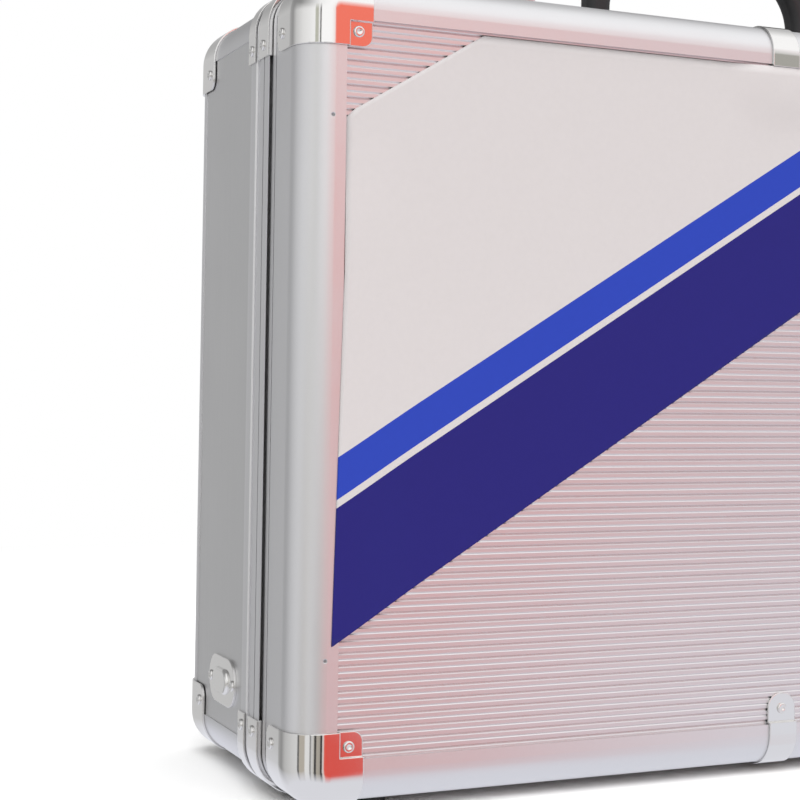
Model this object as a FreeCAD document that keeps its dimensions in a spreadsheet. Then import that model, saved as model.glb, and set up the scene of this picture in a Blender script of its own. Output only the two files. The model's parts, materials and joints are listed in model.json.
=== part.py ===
"""Aluminium tool case with a hinged front lid, corner caps, latches, folding handle and lid stays.

The frame of the model: X is the width, Y the depth with the lid in front (towards -Y), Z is up.
The origin is on the floor under the middle of the case. All lengths are millimetres.
"""
import FreeCAD
import Part
import Sketcher
import math
import os
from types import SimpleNamespace
from FreeCAD import Placement, Rotation, Vector

SIZES = {
    # Case and its two frames
    "case_width": 455.0,
    "case_height": 330.0,
    "case_depth": 152.0,
    "lid_depth": 53.5,
    "corner_radius": 16.0,
    "edge_radius": 14.0,
    "shell_wall": 1.6,
    "frame_border": 18.6,
    "rear_frame_depth": 15.5,
    "line_setback": 6.6,
    "line_width": 0.8,
    "line_depth": 0.4,
    "joggle_length": 2.0,
    "joggle_depth": 0.4,
    # Lips along the seam between the lid and the base
    "lip_proud": 1.3,
    "lid_lip_width": 11.7,
    "base_lip_width": 7.7,
    "seam_web": 2.5,
    "seam_gap": 0.3,
    "lip_rounding": 1.0,
    "slot_width": 0.9,
    "slot_depth": 4.0,
    "bead_line_setback": 5.5,
    "tongue_length": 5.0,
    "tongue_wall": 1.4,
    "tongue_clearance": 0.4,
    # Faced boards and the rounded strips between them
    "board_thickness": 3.0,
    "board_inset": 0.4,
    "board_overlap": 3.6,
    "rib_pitch": 5.0,
    "groove_width": 1.3,
    "groove_depth": 0.6,
    "fine_groove_width": 0.9,
    "fine_groove_depth": 0.3,
    "strip_leg": 16.8,
    # Chromed corner caps, lip tabs and joint straps
    "cap_leg": 29.5,
    "cap_wall": 0.9,
    "cap_seat": 0.05,
    "lug_corner": 4.0,
    "side_lug_corner": 5.0,
    "tab_leg": 28.8,
    "tab_wall": 0.8,
    "strap_width": 14.0,
    "strap_lug_length": 13.4,
    "strap_tip_share": 0.9,
    # Rivets
    "rivet_radius": 2.3,
    "rivet_height": 0.9,
    "rivet_rounding": 0.6,
    "rivet_dimple_radius": 1.1,
    "rivet_dimple_depth": 0.5,
    "cap_rivet_inset": 23.6,
    "tab_rivet_inset": 23.6,
    "side_rivet_inset": 22.5,
    # Foam lining and tool board
    "liner_side_gap": 14.0,
    "liner_top_gap": 7.0,
    "liner_wall": 6.0,
    "liner_floor": 6.0,
    "liner_corner": 5.0,
    "liner_rim_drop": 1.0,
    "pallet_drop": 8.0,
    "pallet_thickness": 3.0,
    "band_width": 26.0,
    "band_thickness": 2.0,
    "band_margin": 24.0,
    "band_spacing": 78.0,
    # Hinges under the seam
    "hinge_offset": 140.0,
    "knuckle_length": 10.0,
    "knuckle_gap": 0.3,
    "barrel_radius": 1.9,
    "barrel_clearance": 0.35,
    "hinge_pin_radius": 0.9,
    "leaf_thickness": 1.2,
    "leaf_reach": 10.0,
    "bore_clearance": 0.06,
    # Feet
    "foot_height": 3.5,
    "foot_radius": 6.0,
    "foot_rounding": 0.8,
    "foot_side_inset": 41.5,
    "foot_end_inset": 22.0,
    # Carrying handle
    "handle_setback": 8.35,
    "handle_inner_span": 104.0,
    "handle_leg_width": 12.0,
    "handle_depth": 12.0,
    "handle_rise": 50.0,
    "handle_bar": 17.0,
    "handle_inner_corner": 26.0,
    "handle_outer_corner": 36.0,
    "handle_rounding": 4.0,
    "handle_pivot_height": 8.0,
    "handle_pin_radius": 2.4,
    "handle_pin_head_radius": 3.6,
    "handle_pin_head": 1.0,
    "bracket_plate": 1.2,
    "bracket_ear": 1.5,
    "bracket_ear_radius": 5.6,
    "bracket_length": 34.0,
    "bracket_width": 16.0,
    "bracket_corner": 4.0,
    "bracket_gap": 0.35,
    # Latches
    "latch_offset": 120.0,
    "latch_setback": 18.0,
    "latch_pivot_height": 4.4,
    "latch_plate_rear": 18.0,
    "latch_width": 30.0,
    "lever_width": 24.0,
    "lever_barrel_radius": 2.8,
    "lever_pin_radius": 1.4,
    "lever_drop": 1.5,
    "lever_thickness": 2.2,
    "lever_tip": 5.0,
    "lever_rounding": 0.8,
    "lever_corner": 4.0,
    "latch_raised_angle": 6.0,
    "tooth_thickness": 2.0,
    "tooth_clearance": 0.5,
    "keeper_thickness": 0.8,
    "lock_radius": 4.2,
    "lock_proud": 0.7,
    "lock_setback": 11.0,
    "key_slot_length": 5.0,
    "key_slot_width": 1.2,
    "key_slot_depth": 1.4,
    # Folding lid stays
    "stay_depth_share": 0.4134,
    "stay_height": 36.5,
    "stay_lid_depth": 20.0,
    "stay_lid_height": 100.0,
    "stay_plate": 1.2,
    "stay_plate_length": 38.0,
    "stay_plate_height": 20.4,
    "stay_plate_end_share": 0.98,
    "stay_rivet_spacing": 32.0,
    "stay_boss_length": 20.0,
    "stay_boss_width": 11.0,
    "stay_boss_height": 1.4,
    "stay_boss_rounding": 1.2,
    "arm_thickness": 1.6,
    "arm_width": 10.0,
    "arm_gap": 0.5,
    "stud_radius": 2.5,
    "stud_head_radius": 4.2,
    "stud_head": 0.9,
    "elbow_clearance": 0.1,
    # How far a cut runs past the face that it starts from
    "overrun": 5.0,
}

doc = FreeCAD.newDocument("aluminium_case")
sheet = doc.addObject("Spreadsheet::Sheet", "sizes")
for row, (alias, amount) in enumerate(SIZES.items(), start=1):
    sheet.set(f"A{row}", alias)
    sheet.set(f"B{row}", str(amount))
    sheet.setAlias(f"B{row}", alias)
doc.recompute()


class Size:
    """A size that knows its value and the sheet formula that drives it."""

    def __init__(self, value, formula):
        self.value = value
        self.formula = formula

    def joined(self, other, sign, value):
        """Return the sum, difference, product or quotient of this size and another size or plain ratio."""
        right = other.formula if isinstance(other, Size) else repr(other)
        return Size(value, f"({self.formula} {sign} {right})")

    def __add__(self, other):
        return self.joined(other, "+", self.value + other.value)

    def __sub__(self, other):
        return self.joined(other, "-", self.value - other.value)

    def __mul__(self, share):
        ratio = share.value if isinstance(share, Size) else share
        return self.joined(share, "*", self.value * ratio)

    def __truediv__(self, ratio):
        return self.joined(ratio, "/", self.value / ratio)

    def __neg__(self):
        return Size(-self.value, f"(-{self.formula})")


dim = SimpleNamespace(**{alias: Size(float(sheet.get(alias)), f"sizes.{alias}") for alias in SIZES})
NOTHING = dim.overrun - dim.overrun


def in_order(first, second):
    """Return two places with the lower one first."""
    return (first, second) if first.value < second.value else (second, first)


def hypotenuse(across, up):
    """Return the length of a straight way from its two parts."""
    return Size(math.hypot(across.value, up.value), f"sqrt({across.formula} ^ 2 + {up.formula} ^ 2)")


# Main planes of the case
side = dim.case_width / 2
bottom = dim.foot_height
top = bottom + dim.case_height
middle = bottom + dim.case_height / 2
front = -dim.case_depth / 2
rear = dim.case_depth / 2
split = front + dim.lid_depth
lid_end = split - dim.seam_gap / 2
lid_lip_rear = lid_end - dim.seam_web
lid_lip_front = lid_lip_rear - dim.lid_lip_width
base_start = split + dim.seam_gap / 2
base_lip_front = base_start + dim.seam_web
base_lip_rear = base_lip_front + dim.base_lip_width
rear_frame_front = rear - dim.rear_frame_depth
base_inner_inset = dim.board_inset + dim.board_thickness
lid_board_rear = front + dim.shell_wall + dim.board_thickness
base_board_front = rear - dim.shell_wall - dim.board_thickness
cap_proud = dim.cap_seat + dim.cap_wall
hinge_height = bottom - dim.lip_proud

NODES = []
SAME_PLACE = 1e-4


# Sketch and feature helpers

def make_body(label, exported=True):
    """Start a body; exported bodies become nodes of the case."""
    body = doc.addObject("PartDesign::Body", label)
    body.Label = label
    if exported:
        NODES.append(body)
    return body


def make_sketch(body, role, offset):
    """Attach a sketch to one of the body's own origin planes, moved along the plane's normal."""
    plane = next(item for item in body.Origin.OriginFeatures if item.Role == role)
    sketch = body.newObject("Sketcher::SketchObject", f"{body.Name}_outline")
    sketch.AttachmentSupport = (plane, [""])
    sketch.MapMode = "FlatFace"
    sketch.setExpression("AttachmentOffset.Base.z", offset.formula)
    return sketch


def constrain(sketch, kind, size, *where):
    """Add one driving constraint bound to a size."""
    index = sketch.addConstraint(Sketcher.Constraint(kind, *where, size.value))
    sketch.setExpression(f"Constraints[{index}]", size.formula)


def pin_point(sketch, geometry, end, x, y):
    """Hold one end of a piece of sketch geometry at a place measured from the sketch's origin."""
    constrain(sketch, "DistanceX", x, -1, 1, geometry, end)
    constrain(sketch, "DistanceY", y, -1, 1, geometry, end)


def draw_polygon(sketch, points):
    """Draw a closed polygon through points given as pairs of sizes."""
    first = sketch.GeometryCount
    count = len(points)
    for index, (x, y) in enumerate(points):
        next_x, next_y = points[(index + 1) % count]
        start = Vector(x.value, y.value, 0)
        sketch.addGeometry(Part.LineSegment(start, Vector(next_x.value, next_y.value, 0)))
    for index in range(count):
        following = first + (index + 1) % count
        sketch.addConstraint(Sketcher.Constraint("Coincident", first + index, 2, following, 1))
    for index, (x, y) in enumerate(points):
        pin_point(sketch, first + index, 1, x, y)


def draw_box(sketch, x_low, x_high, y_low, y_high):
    """Draw a rectangle between two corners."""
    draw_polygon(sketch, [(x_low, y_low), (x_high, y_low), (x_high, y_high), (x_low, y_high)])


def draw_circle(sketch, x, y, radius):
    """Draw a circle."""
    circle = Part.Circle(Vector(x.value, y.value, 0), Vector(0, 0, 1), radius.value)
    index = sketch.addGeometry(circle)
    pin_point(sketch, index, 3, x, y)
    constrain(sketch, "Radius", radius, index)


def draw_rounded_box(sketch, x_low, x_high, y_low, y_high, radius):
    """Draw a rectangle with round corners as four lines and four tangent arcs."""
    first = sketch.GeometryCount
    r = radius.value
    centres = [(x_high.value - r, y_low.value + r), (x_high.value - r, y_high.value - r),
               (x_low.value + r, y_high.value - r), (x_low.value + r, y_low.value + r)]
    lines = [((x_low.value + r, y_low.value), (x_high.value - r, y_low.value)),
             ((x_high.value, y_low.value + r), (x_high.value, y_high.value - r)),
             ((x_high.value - r, y_high.value), (x_low.value + r, y_high.value)),
             ((x_low.value, y_high.value - r), (x_low.value, y_low.value + r))]
    for quarter, ((start, end), centre) in enumerate(zip(lines, centres)):
        sketch.addGeometry(Part.LineSegment(Vector(*start, 0), Vector(*end, 0)))
        circle = Part.Circle(Vector(*centre, 0), Vector(0, 0, 1), r)
        angle = math.pi / 2 * (quarter - 1)
        sketch.addGeometry(Part.ArcOfCircle(circle, angle, angle + math.pi / 2))
    for quarter in range(4):
        line = first + 2 * quarter
        following = first + (2 * quarter + 2) % 8
        sketch.addConstraint(Sketcher.Constraint("Tangent", line, 2, line + 1, 1))
        sketch.addConstraint(Sketcher.Constraint("Tangent", line + 1, 2, following, 1))
        direction = "Horizontal" if quarter % 2 == 0 else "Vertical"
        sketch.addConstraint(Sketcher.Constraint(direction, line))
        if quarter:
            sketch.addConstraint(Sketcher.Constraint("Equal", first + 1, line + 1))
    constrain(sketch, "Radius", radius, first + 1)
    constrain(sketch, "DistanceY", y_low, -1, 1, first, 1)
    constrain(sketch, "DistanceX", x_high, -1, 1, first + 2, 1)
    constrain(sketch, "DistanceY", y_high, -1, 1, first + 4, 1)
    constrain(sketch, "DistanceX", x_low, -1, 1, first + 6, 1)


def draw_case_outline(sketch, inset):
    """Draw the case's elevation, moved inwards by an inset (outwards if it is negative)."""
    corner = dim.corner_radius - inset
    draw_rounded_box(sketch, inset - side, side - inset, bottom + inset, top - inset, corner)


def draw_window(sketch, inset):
    """Draw the square-cornered window that a board shows through."""
    draw_box(sketch, inset - side, side - inset, bottom + inset, top - inset)


def extrude(body, axis, low, high, draw, cut=False):
    """Pad, or cut, a sketch from low to high along one axis of the body.

    The draw function gets the sketch. In it, x and y are X and Z for axis Y, Y and Z for axis X,
    and X and Y for axis Z.
    """
    role, start = {"X": ("YZ_Plane", low), "Y": ("XZ_Plane", -low), "Z": ("XY_Plane", low)}[axis]
    sketch = make_sketch(body, role, start)
    draw(sketch)
    feature = body.newObject("PartDesign::Pocket" if cut else "PartDesign::Pad", f"{body.Name}_form")
    feature.Profile = sketch
    feature.setExpression("Length", (high - low).formula)
    feature.Reversed = (axis == "Y") != cut
    sketch.Visibility = False
    doc.recompute()
    return feature


def cut(body, axis, low, high, draw):
    """Cut a sketch out of the body from low to high along one axis, and make sure that it cut something."""
    before = body.Tip.Shape.Volume
    feature = extrude(body, axis, low, high, draw, cut=True)
    if not feature.Shape.Volume < before:
        raise ValueError(f"a cut in {body.Label} removed nothing")
    return feature


def round_edges(body, radius, chosen):
    """Fillet the edges of the body's last feature that a test picks."""
    base = body.Tip
    names = [f"Edge{number}" for number, edge in enumerate(base.Shape.Edges, start=1) if chosen(edge)]
    if not names:
        raise ValueError(f"no edge to round in {body.Label}")
    fillet = body.newObject("PartDesign::Fillet", f"{body.Name}_rounding")
    fillet.Base = (base, names)
    fillet.setExpression("Radius", radius.formula)
    doc.recompute()
    return fillet


def close(first, second):
    """Tell whether two numbers are the same place."""
    return abs(first - second) < SAME_PLACE


def lies_at(edge, axis, place):
    """Tell whether a whole edge lies in the plane at a place along an axis."""
    box = edge.BoundBox
    low, high = getattr(box, f"{axis}Min"), getattr(box, f"{axis}Max")
    return close(low, place.value) and close(high, place.value)


def runs_along(edge, axis):
    """Tell whether an edge is a straight line along an axis."""
    lengths = {name: getattr(edge.BoundBox, f"{name}Length") for name in "XYZ"}
    return close(lengths[axis], edge.Length) and edge.Length > 0


def mirror_pair(body):
    """Add the mirror image of the whole body on the other side of the case."""
    mirrored = body.newObject("PartDesign::Mirrored", f"{body.Name}_pair")
    plane = next(item for item in body.Origin.OriginFeatures if item.Role == "YZ_Plane")
    mirrored.TransformMode = "Whole shape"
    mirrored.MirrorPlane = (plane, [""])
    body.Tip = mirrored
    doc.recompute()


def bent_shell(body, outer, inner, proud, wall):
    """Make an open tray round the case's front or rear edge: outline, rounded edge, then a shell.

    Outer is the plane of the case's face and inner the plane where the tray stays open.
    """
    face = outer - proud if outer.value < inner.value else outer + proud
    low, high = (face, inner) if outer.value < inner.value else (inner, face)
    extrude(body, "Y", low, high, lambda sketch: draw_case_outline(sketch, -proud))
    round_edges(body, dim.edge_radius + proud, lambda edge: lies_at(edge, "Y", face))
    base = body.Tip
    open_faces = [f"Face{number}" for number, item in enumerate(base.Shape.Faces, start=1)
                  if lies_at(item, "Y", inner)]
    shell = body.newObject("PartDesign::Thickness", f"{body.Name}_shell")
    shell.Base = (base, open_faces)
    shell.setExpression("Value", wall.formula)
    shell.Reversed = True
    doc.recompute()


def make_ring(body, low, high, outer_inset, inner_inset):
    """Pad a ring that follows the case's outline."""
    def draw(sketch):
        draw_case_outline(sketch, outer_inset)
        draw_case_outline(sketch, inner_inset)
    return extrude(body, "Y", low, high, draw)


def cut_ring(body, low, high, outer_inset, inner_inset):
    """Cut a ring that follows the case's outline."""
    def draw(sketch):
        draw_case_outline(sketch, outer_inset)
        draw_case_outline(sketch, inner_inset)
    return cut(body, "Y", low, high, draw)


def far(size):
    """Return a place well outside a size, for cuts."""
    return size + dim.overrun


def corner_window(sign_x, sign_z, leg):
    """Return the box of one corner of the elevation: low and high X, then low and high Z."""
    x_low, x_high = (-far(side), leg - side) if sign_x < 0 else (side - leg, far(side))
    z_low, z_high = (bottom - dim.overrun, bottom + leg) if sign_z < 0 else (top - leg, far(top))
    return x_low, x_high, z_low, z_high


def keep_corner(body, sign_x, sign_z, leg, low, high):
    """Cut away everything but one corner of the elevation."""
    x_low, x_high, z_low, z_high = corner_window(sign_x, sign_z, leg)
    across = (x_high, far(side)) if sign_x < 0 else (-far(side), x_low)
    upright = (z_high, far(top)) if sign_z < 0 else (bottom - dim.overrun, z_low)
    cut(body, "Y", low, high, lambda sketch: draw_box(sketch, *across, bottom - dim.overrun, far(top)))
    cut(body, "Y", low, high, lambda sketch: draw_box(sketch, -far(side), far(side), *upright))


CORNERS = {"top_left": (-1, 1), "top_right": (1, 1), "bottom_left": (-1, -1), "bottom_right": (1, -1)}


# Frames of the lid and of the base's rear

def make_lid_frame():
    """Round-edged front frame of the lid: a window for the ribbed board, a fine line and a joggled edge."""
    body = make_body("lid_frame")
    bent_shell(body, front, lid_lip_front, NOTHING, dim.shell_wall)
    cut(body, "Y", front - dim.overrun, front + dim.shell_wall + dim.overrun,
        lambda sketch: draw_window(sketch, dim.frame_border))
    line = lid_lip_front - dim.line_setback
    cut_ring(body, line, line + dim.line_width, -dim.overrun, dim.line_depth)
    cut_ring(body, lid_lip_front - dim.joggle_length, lid_lip_front, -dim.overrun, dim.joggle_depth)


def make_rear_frame():
    """Round-edged frame that holds the rear board."""
    body = make_body("base_rear_frame")
    bent_shell(body, rear, rear_frame_front, NOTHING, dim.shell_wall)
    cut(body, "Y", rear - dim.shell_wall - dim.overrun, rear + dim.overrun,
        lambda sketch: draw_window(sketch, dim.frame_border))


# Lips along the seam

def cut_hinge_notches(body, low, high):
    """Clear the underside of a lip for the hinge leaves and their barrels."""
    reach = hinge_length() / 2 + dim.barrel_clearance
    relief = dim.barrel_radius + dim.barrel_clearance
    for sign in (-1, 1):
        centre = dim.hinge_offset * sign
        cut(body, "Z", bottom - dim.overrun, bottom,
            lambda sketch: draw_box(sketch, centre - reach, centre + reach, low, high))
        cut(body, "Z", bottom - dim.overrun, hinge_height + relief,
            lambda sketch: draw_box(sketch, centre - reach, centre + reach, split - relief, split + relief))


def make_lid_lip():
    """Bead round the lid's open edge: an open slot over the frame's edge, a fine line and a thin web."""
    body = make_body("lid_lip")
    make_ring(body, lid_lip_front, lid_lip_rear, -dim.lip_proud, dim.shell_wall)
    round_edges(body, dim.lip_rounding, lambda edge: is_bead_edge(edge, lid_lip_rear))
    make_ring(body, lid_lip_rear, lid_end, NOTHING, dim.shell_wall)
    cut_ring(body, lid_lip_front, lid_lip_front + dim.slot_depth, -dim.slot_width, dim.joggle_depth)
    line = lid_lip_front + dim.bead_line_setback
    cut_ring(body, line, line + dim.line_width, -far(dim.lip_proud), dim.line_depth - dim.lip_proud)
    cut_hinge_notches(body, lid_lip_front - dim.overrun, far(lid_end))


def is_bead_edge(edge, flank):
    """Tell whether an edge is on the outside of a lip's bead, at one of its flanks."""
    box = edge.BoundBox
    straight = runs_along(edge, "X") or runs_along(edge, "Z")
    across = max(box.XMax, -box.XMin) - side.value
    upright = max(box.ZMax - top.value, bottom.value - box.ZMin)
    outside = max(across, upright) > 0
    wide_corner = edge.Length > dim.corner_radius.value * math.pi / 2
    return lies_at(edge, "Y", flank) and outside and (straight or wide_corner)


def make_base_lip():
    """Bead round the base's open edge, with the tongue that the lid closes over."""
    body = make_body("base_lip")
    tongue_inset = dim.shell_wall + dim.tongue_clearance
    inner_inset = tongue_inset + dim.tongue_wall
    make_ring(body, base_lip_front, base_lip_rear, -dim.lip_proud, inner_inset)
    round_edges(body, dim.lip_rounding,
                lambda edge: is_bead_edge(edge, base_lip_front) or is_bead_edge(edge, base_lip_rear))
    make_ring(body, base_start, base_lip_front, NOTHING, inner_inset)
    make_ring(body, split - dim.tongue_length, base_start, tongue_inset, inner_inset)
    cut_hinge_notches(body, base_start - dim.overrun, far(base_lip_rear))


# Boards and rounded strips

def make_ribbed_board(label, face, inward):
    """Faced board with a groove and a finer one in each pitch; inward is the sign of Y into the case."""
    setback = dim.frame_border - dim.board_overlap
    low, high = (bottom + setback).value, (top - setback).value
    outline = [(face.value, low)]
    pitch = dim.rib_pitch.value
    count = int((dim.case_height / 2 - dim.frame_border).value / pitch)
    for step in range(-2 * count, 2 * count + 1):
        broad = step % 2 == 0
        width = (dim.groove_width if broad else dim.fine_groove_width).value
        depth = (dim.groove_depth if broad else dim.fine_groove_depth).value * inward
        centre = middle.value + step * pitch / 2
        outline.append((face.value, centre - width / 2))
        outline.append((face.value + depth, centre))
        outline.append((face.value, centre + width / 2))
    back = face.value + dim.board_thickness.value * inward
    outline += [(face.value, high), (back, high), (back, low), (face.value, low)]
    left = (setback - side).value
    wire = Part.makePolygon([Vector(left, y, z) for y, z in outline])
    board = doc.addObject("Part::Feature", label)
    board.Label = label
    board.Shape = Part.Face(wire).extrude(Vector((side - setback).value - left, 0, 0))
    NODES.append(board)


def make_base_walls():
    """Four flat boards between the rounded strips."""
    outer, inner = side - dim.board_inset, side - base_inner_inset
    low, high = bottom + dim.strip_leg, top - dim.strip_leg
    sides = {"base_wall_left": (-outer, -inner), "base_wall_right": (inner, outer)}
    for label, (x_low, x_high) in sides.items():
        extrude(make_body(label), "X", x_low, x_high,
                lambda sketch: draw_box(sketch, base_lip_rear, rear_frame_front, low, high))
    reach = side - dim.strip_leg
    levels = {"base_wall_top": (top - base_inner_inset, top - dim.board_inset),
              "base_wall_bottom": (bottom + dim.board_inset, bottom + base_inner_inset)}
    for label, (z_low, z_high) in levels.items():
        extrude(make_body(label), "Z", z_low, z_high,
                lambda sketch: draw_box(sketch, -reach, reach, base_lip_rear, rear_frame_front))


def make_corner_strips():
    """Quarter-round strips along the base's four long corners."""
    for corner, (sign_x, sign_z) in CORNERS.items():
        body = make_body(f"base_strip_{corner}")
        make_ring(body, base_lip_rear, rear_frame_front, NOTHING, dim.shell_wall)
        keep_corner(body, sign_x, sign_z, dim.strip_leg, base_lip_rear - dim.overrun, far(rear_frame_front))


# Chromed caps, tabs and straps

def make_corner_cap(label, sign_x, sign_z, outer, inward):
    """Pressed corner cap with a sunk lug on the board; inward is the sign of Y into the case."""
    body = make_body(label)
    leg_end = outer + dim.cap_leg * inward
    bent_shell(body, outer, leg_end, cap_proud, dim.cap_wall)
    face = outer - cap_proud * inward
    low, high = in_order(face, leg_end)
    keep_corner(body, sign_x, sign_z, dim.cap_leg, low - dim.overrun, far(high))
    edge = dim.frame_border + dim.cap_seat
    board_face = outer + (dim.shell_wall - dim.cap_seat) * inward

    def lug_box(sketch, inset):
        x_inner, x_outer = (side - dim.cap_leg) * sign_x, (side - inset) * sign_x
        x_low, x_high = in_order(x_inner, x_outer)
        if sign_z > 0:
            draw_box(sketch, x_low, x_high, top - dim.cap_leg, top - inset)
        else:
            draw_box(sketch, x_low, x_high, bottom + inset, bottom + dim.cap_leg)

    y_low, y_high = in_order(face, board_face)
    extrude(body, "Y", y_low, y_high, lambda sketch: lug_box(sketch, edge))
    lug_face = board_face - dim.cap_wall * inward
    c_low, c_high = in_order(face - dim.overrun * inward, lug_face)
    cut(body, "Y", c_low, c_high, lambda sketch: lug_box(sketch, edge + dim.cap_wall))
    x_tip = ((side - dim.cap_leg) * sign_x).value
    z_tip = (top - dim.cap_leg if sign_z > 0 else bottom + dim.cap_leg).value
    round_edges(body, dim.lug_corner, lambda item: is_at(item, "Y", "X", x_tip, "Z", z_tip))
    x_side = (side * sign_x).value
    y_tip = leg_end.value
    z_side = (top if sign_z > 0 else bottom).value
    round_edges(body, dim.side_lug_corner, lambda item: is_thin_corner(item, "X", x_side, y_tip, z_tip)
                or is_thin_corner(item, "Z", z_side, y_tip, x_tip))


def is_at(edge, along, first, first_place, second, second_place):
    """Tell whether a straight edge runs along one axis at a place on the two others."""
    centre = edge.BoundBox.Center
    first_there = close(getattr(centre, first.lower()), first_place)
    second_there = close(getattr(centre, second.lower()), second_place)
    return runs_along(edge, along) and first_there and second_there


def is_thin_corner(edge, along, wall_place, y_tip, tip):
    """Tell whether an edge is the free corner of a cap's side, running through its wall."""
    other = "Z" if along == "X" else "X"
    near = abs(getattr(edge.BoundBox.Center, along.lower()) - wall_place) < dim.overrun.value
    return near and is_at(edge, along, "Y", y_tip, other, tip)


def make_lip_tabs(label, low, high, flank, flank_depth):
    """Four chromed tabs that wrap a lip's corners; flank is the side of the bead that they fold over."""
    body = make_body(label)
    y_low, y_high = in_order(low, high)
    band_low, band_high = in_order(flank, high if flank.value < low.value else low)
    proud = dim.lip_proud + dim.cap_seat
    make_ring(body, band_low, band_high, -(proud + dim.tab_wall), -proud)
    fold_low, fold_high = in_order(flank, flank_depth)
    make_ring(body, fold_low, fold_high, -proud, -dim.cap_seat)
    inner = side - dim.tab_leg
    cut(body, "Y", y_low - dim.overrun, far(y_high),
        lambda sketch: draw_box(sketch, -inner, inner, bottom - dim.overrun, far(top)))
    cut(body, "Y", y_low - dim.overrun, far(y_high),
        lambda sketch: draw_box(sketch, -far(side), far(side), bottom + dim.tab_leg, top - dim.tab_leg))


def make_joint_straps(label, outer, inner, inward):
    """Two chromed straps over the frame's joints at the middle of its top and bottom."""
    body = make_body(label)
    bent_shell(body, outer, inner, cap_proud, dim.cap_wall)
    face = outer - cap_proud * inward
    low, high = in_order(face, inner)
    half = dim.strap_width / 2
    for x_low, x_high in ((half, far(side)), (-far(side), -half)):
        cut(body, "Y", low - dim.overrun, far(high),
            lambda sketch: draw_box(sketch, x_low, x_high, bottom - dim.overrun, far(top)))
    edge = dim.frame_border + dim.cap_seat
    c_low, c_high = in_order(face - dim.overrun * inward, outer + dim.overrun * inward)
    wall_edge = edge + dim.cap_wall
    cut(body, "Y", c_low, c_high,
        lambda sketch: draw_box(sketch, -half, half, bottom + wall_edge, top - wall_edge))
    board_face = outer + (dim.shell_wall - dim.cap_seat) * inward
    lug_face = board_face - dim.cap_wall * inward
    for z_edge, sign in ((top - edge, -1), (bottom + edge, 1)):
        z_wall = z_edge + dim.cap_wall * sign
        z_tip = z_edge + dim.strap_lug_length * sign
        y_low, y_high = in_order(face, board_face)
        z_low, z_high = in_order(z_edge, z_wall)
        extrude(body, "Y", y_low, y_high, lambda sketch: draw_box(sketch, -half, half, z_low, z_high))
        l_low, l_high = in_order(lug_face, board_face)
        z_low, z_high = in_order(z_edge, z_tip)
        extrude(body, "Y", l_low, l_high, lambda sketch: draw_box(sketch, -half, half, z_low, z_high))
        round_edges(body, half * dim.strap_tip_share,
                    lambda item: runs_along(item, "Y") and close(item.BoundBox.ZMin, z_tip.value))


# Rivets

def make_rivet_shape():
    """Return one round rivet head with a dimple, standing on the XY plane."""
    height, depth = dim.rivet_height.value, dim.rivet_dimple_depth.value
    head = Part.makeCylinder(dim.rivet_radius.value, height)
    rim = [edge for edge in head.Edges if lies_at(edge, "Z", dim.rivet_height)]
    head = head.makeFillet(dim.rivet_rounding.value, rim)
    return head.cut(Part.makeCone(0, dim.rivet_dimple_radius.value, depth, Vector(0, 0, height - depth)))


def make_rivets(label, places):
    """Put a rivet head at each place, given as a point and the direction that the head faces."""
    head = make_rivet_shape()
    heads = []
    for point, direction in places:
        item = head.copy()
        turn = Rotation(Vector(0, 0, 1), direction)
        item.Placement = Placement(Vector(*[place.value for place in point]), turn)
        heads.append(item)
    group = doc.addObject("Part::Feature", label)
    group.Label = label
    group.Shape = Part.makeCompound(heads)
    NODES.append(group)


def cap_rivet_places(outer, inward):
    """List the rivets of the four caps on one face: one on each sunk lug and two on the sides."""
    lug_face = outer + (dim.shell_wall - dim.cap_seat - dim.cap_wall) * inward
    along = outer + dim.cap_rivet_inset * inward
    places = []
    for sign_x, sign_z in CORNERS.values():
        x_lug = (side - dim.cap_rivet_inset) * sign_x
        edge_z, up = (top, Vector(0, 0, 1)) if sign_z > 0 else (bottom, Vector(0, 0, -1))
        z_lug = edge_z - dim.cap_rivet_inset * sign_z
        places.append(((x_lug, lug_face, z_lug), Vector(0, -inward, 0)))
        z_side = edge_z - dim.side_rivet_inset * sign_z
        places.append((((side + cap_proud) * sign_x, along, z_side), Vector(sign_x, 0, 0)))
        x_side = (side - dim.side_rivet_inset) * sign_x
        places.append(((x_side, along, edge_z + cap_proud * sign_z), up))
    return places


def tab_rivet_places(along):
    """List the rivets of a lip's four tabs, one on each leg."""
    face = dim.lip_proud + dim.cap_seat + dim.tab_wall
    places = []
    for sign_x, sign_z in CORNERS.values():
        edge_z, up = (top, Vector(0, 0, 1)) if sign_z > 0 else (bottom, Vector(0, 0, -1))
        x_side = (side + face) * sign_x
        places.append(((x_side, along, edge_z - dim.tab_rivet_inset * sign_z), Vector(sign_x, 0, 0)))
        x_top = (side - dim.tab_rivet_inset) * sign_x
        if sign_z > 0:
            places.append(((x_top, along, edge_z + face * sign_z), up))
    return places


def strap_rivet_places(outer, inward):
    """List the rivets on the two straps' lugs."""
    lug_face = outer + (dim.shell_wall - dim.cap_seat - dim.cap_wall) * inward
    inset = dim.frame_border + dim.strap_lug_length / 2
    heights = (top - inset, bottom + inset)
    return [((NOTHING, lug_face, height), Vector(0, -inward, 0)) for height in heights]


def stay_plate_rivet_places():
    """List the rivets on the oval plates outside the stays."""
    face = side - dim.board_inset + dim.stay_plate
    places = []
    for sign in (-1, 1):
        for end in (-1, 1):
            along = stay_y + dim.stay_rivet_spacing * (end / 2)
            places.append(((face * sign, along, stay_z), Vector(sign, 0, 0)))
    return places


# Foam lining and tool board

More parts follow.
